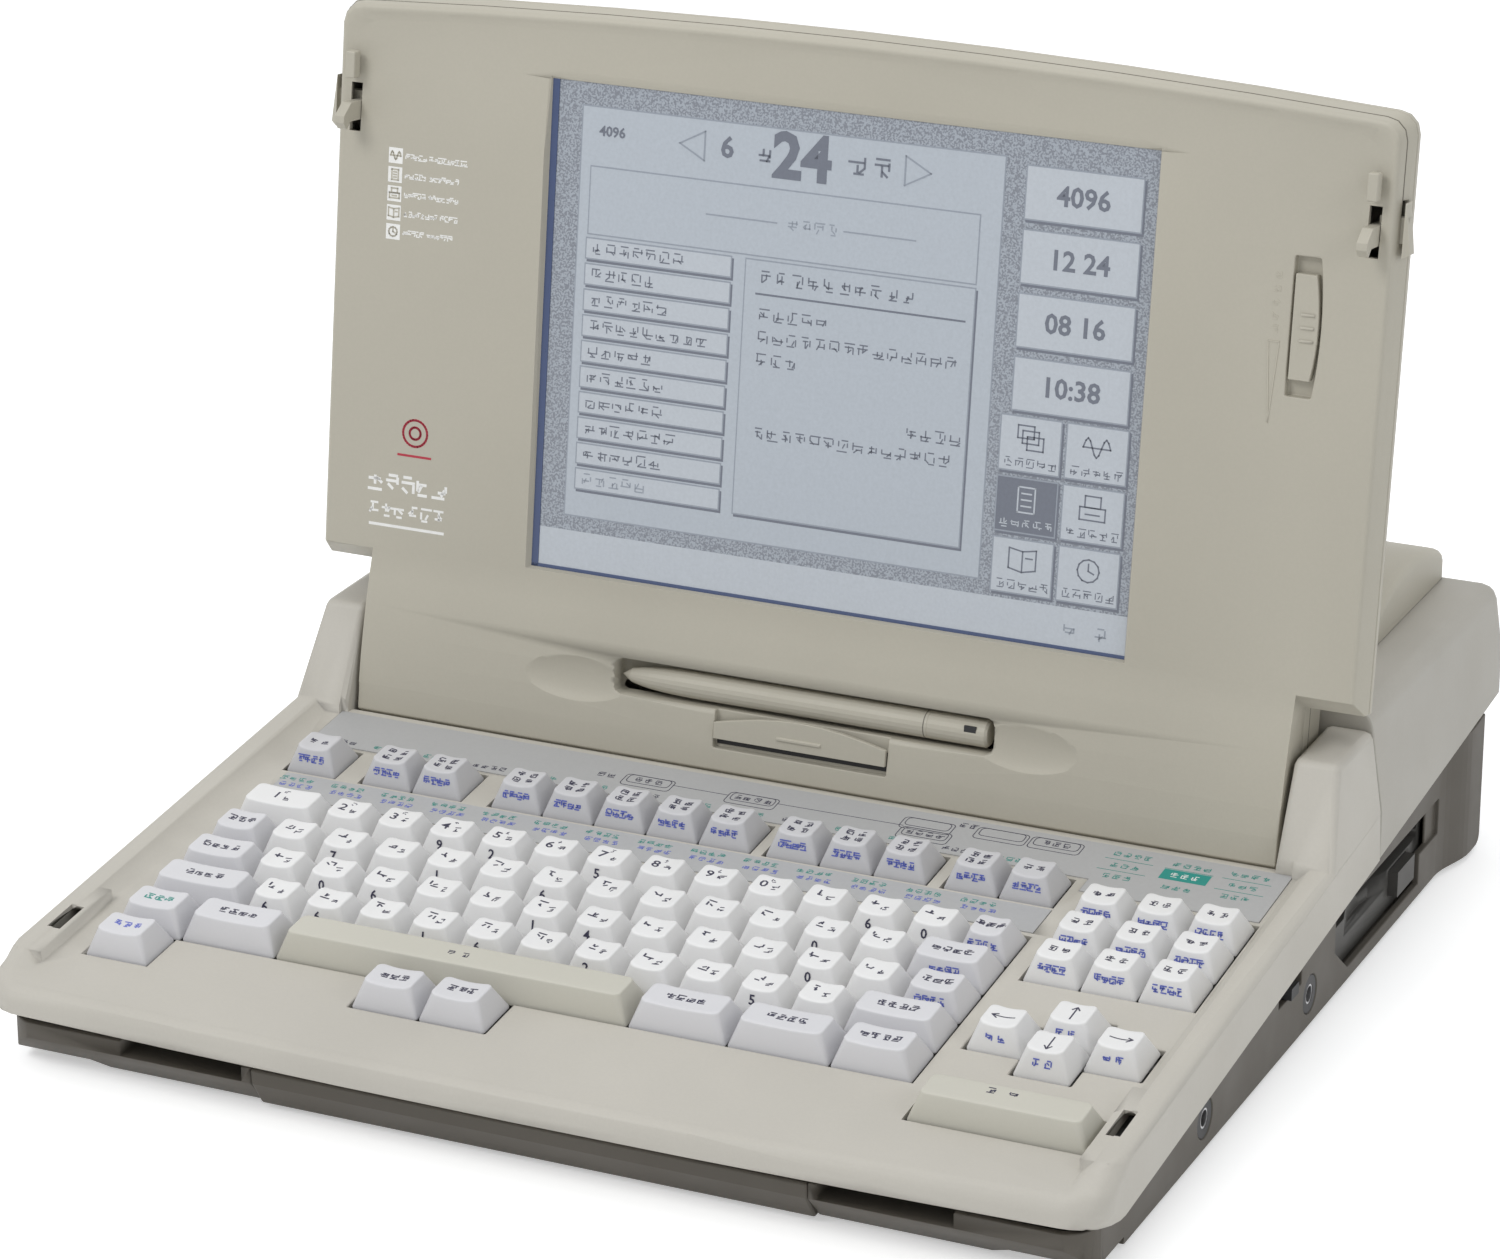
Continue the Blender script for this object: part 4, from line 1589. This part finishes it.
def make_rear_fittings():
    inlet = box("power_inlet", (-INLET_X - INLET_HALF, REAR_WALL - INLET_DEPTH, -INLET_LOW),
                (-INLET_X + INLET_HALF, REAR_WALL, -INLET_HIGH), CASE_FRAME)
    cut(inlet, box("inlet_space", (-INLET_X - INLET_HALF + INLET_WALL, REAR_WALL - INLET_DEPTH + INLET_WALL,
                                   -INLET_LOW + INLET_WALL),
                   (-INLET_X + INLET_HALF - INLET_WALL, REAR_WALL + OVERRUN, -INLET_HIGH - INLET_WALL),
                   CASE_FRAME))
    keep(inlet, "power_inlet", "dark_plastic")
    up = -(INLET_LOW + INLET_HIGH) / 2
    half = SWITCH_LENGTH / 2 - SEAT_GAP
    outline = [(REAR_WALL - SWITCH_DEPTH, up - half + SWITCH_CANT), (REAR_WALL + SWITCH_CANT, up - half),
               (REAR_WALL, up), (REAR_WALL + SWITCH_CANT, up + half),
               (REAR_WALL - SWITCH_DEPTH, up + half - SWITCH_CANT)]
    rocker = prism_x("power_switch", outline, SWITCH_X - SWITCH_HALF, SWITCH_X + SWITCH_HALF, CASE_FRAME)
    keep(rocker, "power_switch", "dark_plastic", Vector((SWITCH_X, REAR_WALL - WALL, up)))


def make_insides():
    low = -BASE_DROP + WALL + BOARD_CLEAR + SEAT_GAP
    board = box("main_board", (-BOARD_HALF, BOARD_FRONT, low), (BOARD_HALF, BOARD_BACK, low + BOARD_THICK),
                CASE_FRAME)
    chips = [((across - CHIP_HALF, back - CHIP_HALF, low + BOARD_THICK / 2),
              (across + CHIP_HALF, back + CHIP_HALF, low + BOARD_THICK + CHIP_HEIGHT))
             for across, back in CHIP_PLACES]
    join(board, boxes("chips", chips, CASE_FRAME))
    keep(board, "main_board", "board")
    floor = -BASE_DROP + WALL + SEAT_GAP
    supply = box("power_supply", (-SUPPLY_LEFT, SUPPLY_FRONT, floor),
                 (-SUPPLY_RIGHT, SUPPLY_BACK, -SUPPLY_TOP), CASE_FRAME)
    keep(supply, "power_supply", "steel")
    cone = posts("speaker", SPEAKER_RADIUS, [(-SPEAKER_X, SPEAKER_BACK)], floor, floor + SPEAKER_HEIGHT,
                 CASE_FRAME, ROUND_SIDES)
    keep(cone, "speaker", "dark_plastic")


make_upper_case()
make_legend_plates()
make_keyboard()
make_lower_case()
make_feet()
make_handle()
make_rear_housing()
make_printer_lid()
make_lid_bezel()
make_lid_back()
make_screen()
make_contrast_slider()
make_latches()
make_pen()
make_flap()
make_hinges()
make_printer_frame()
make_printer_drive()
make_carriage()
make_floppy_drive()
make_side_sockets()
make_rear_fittings()
make_insides()
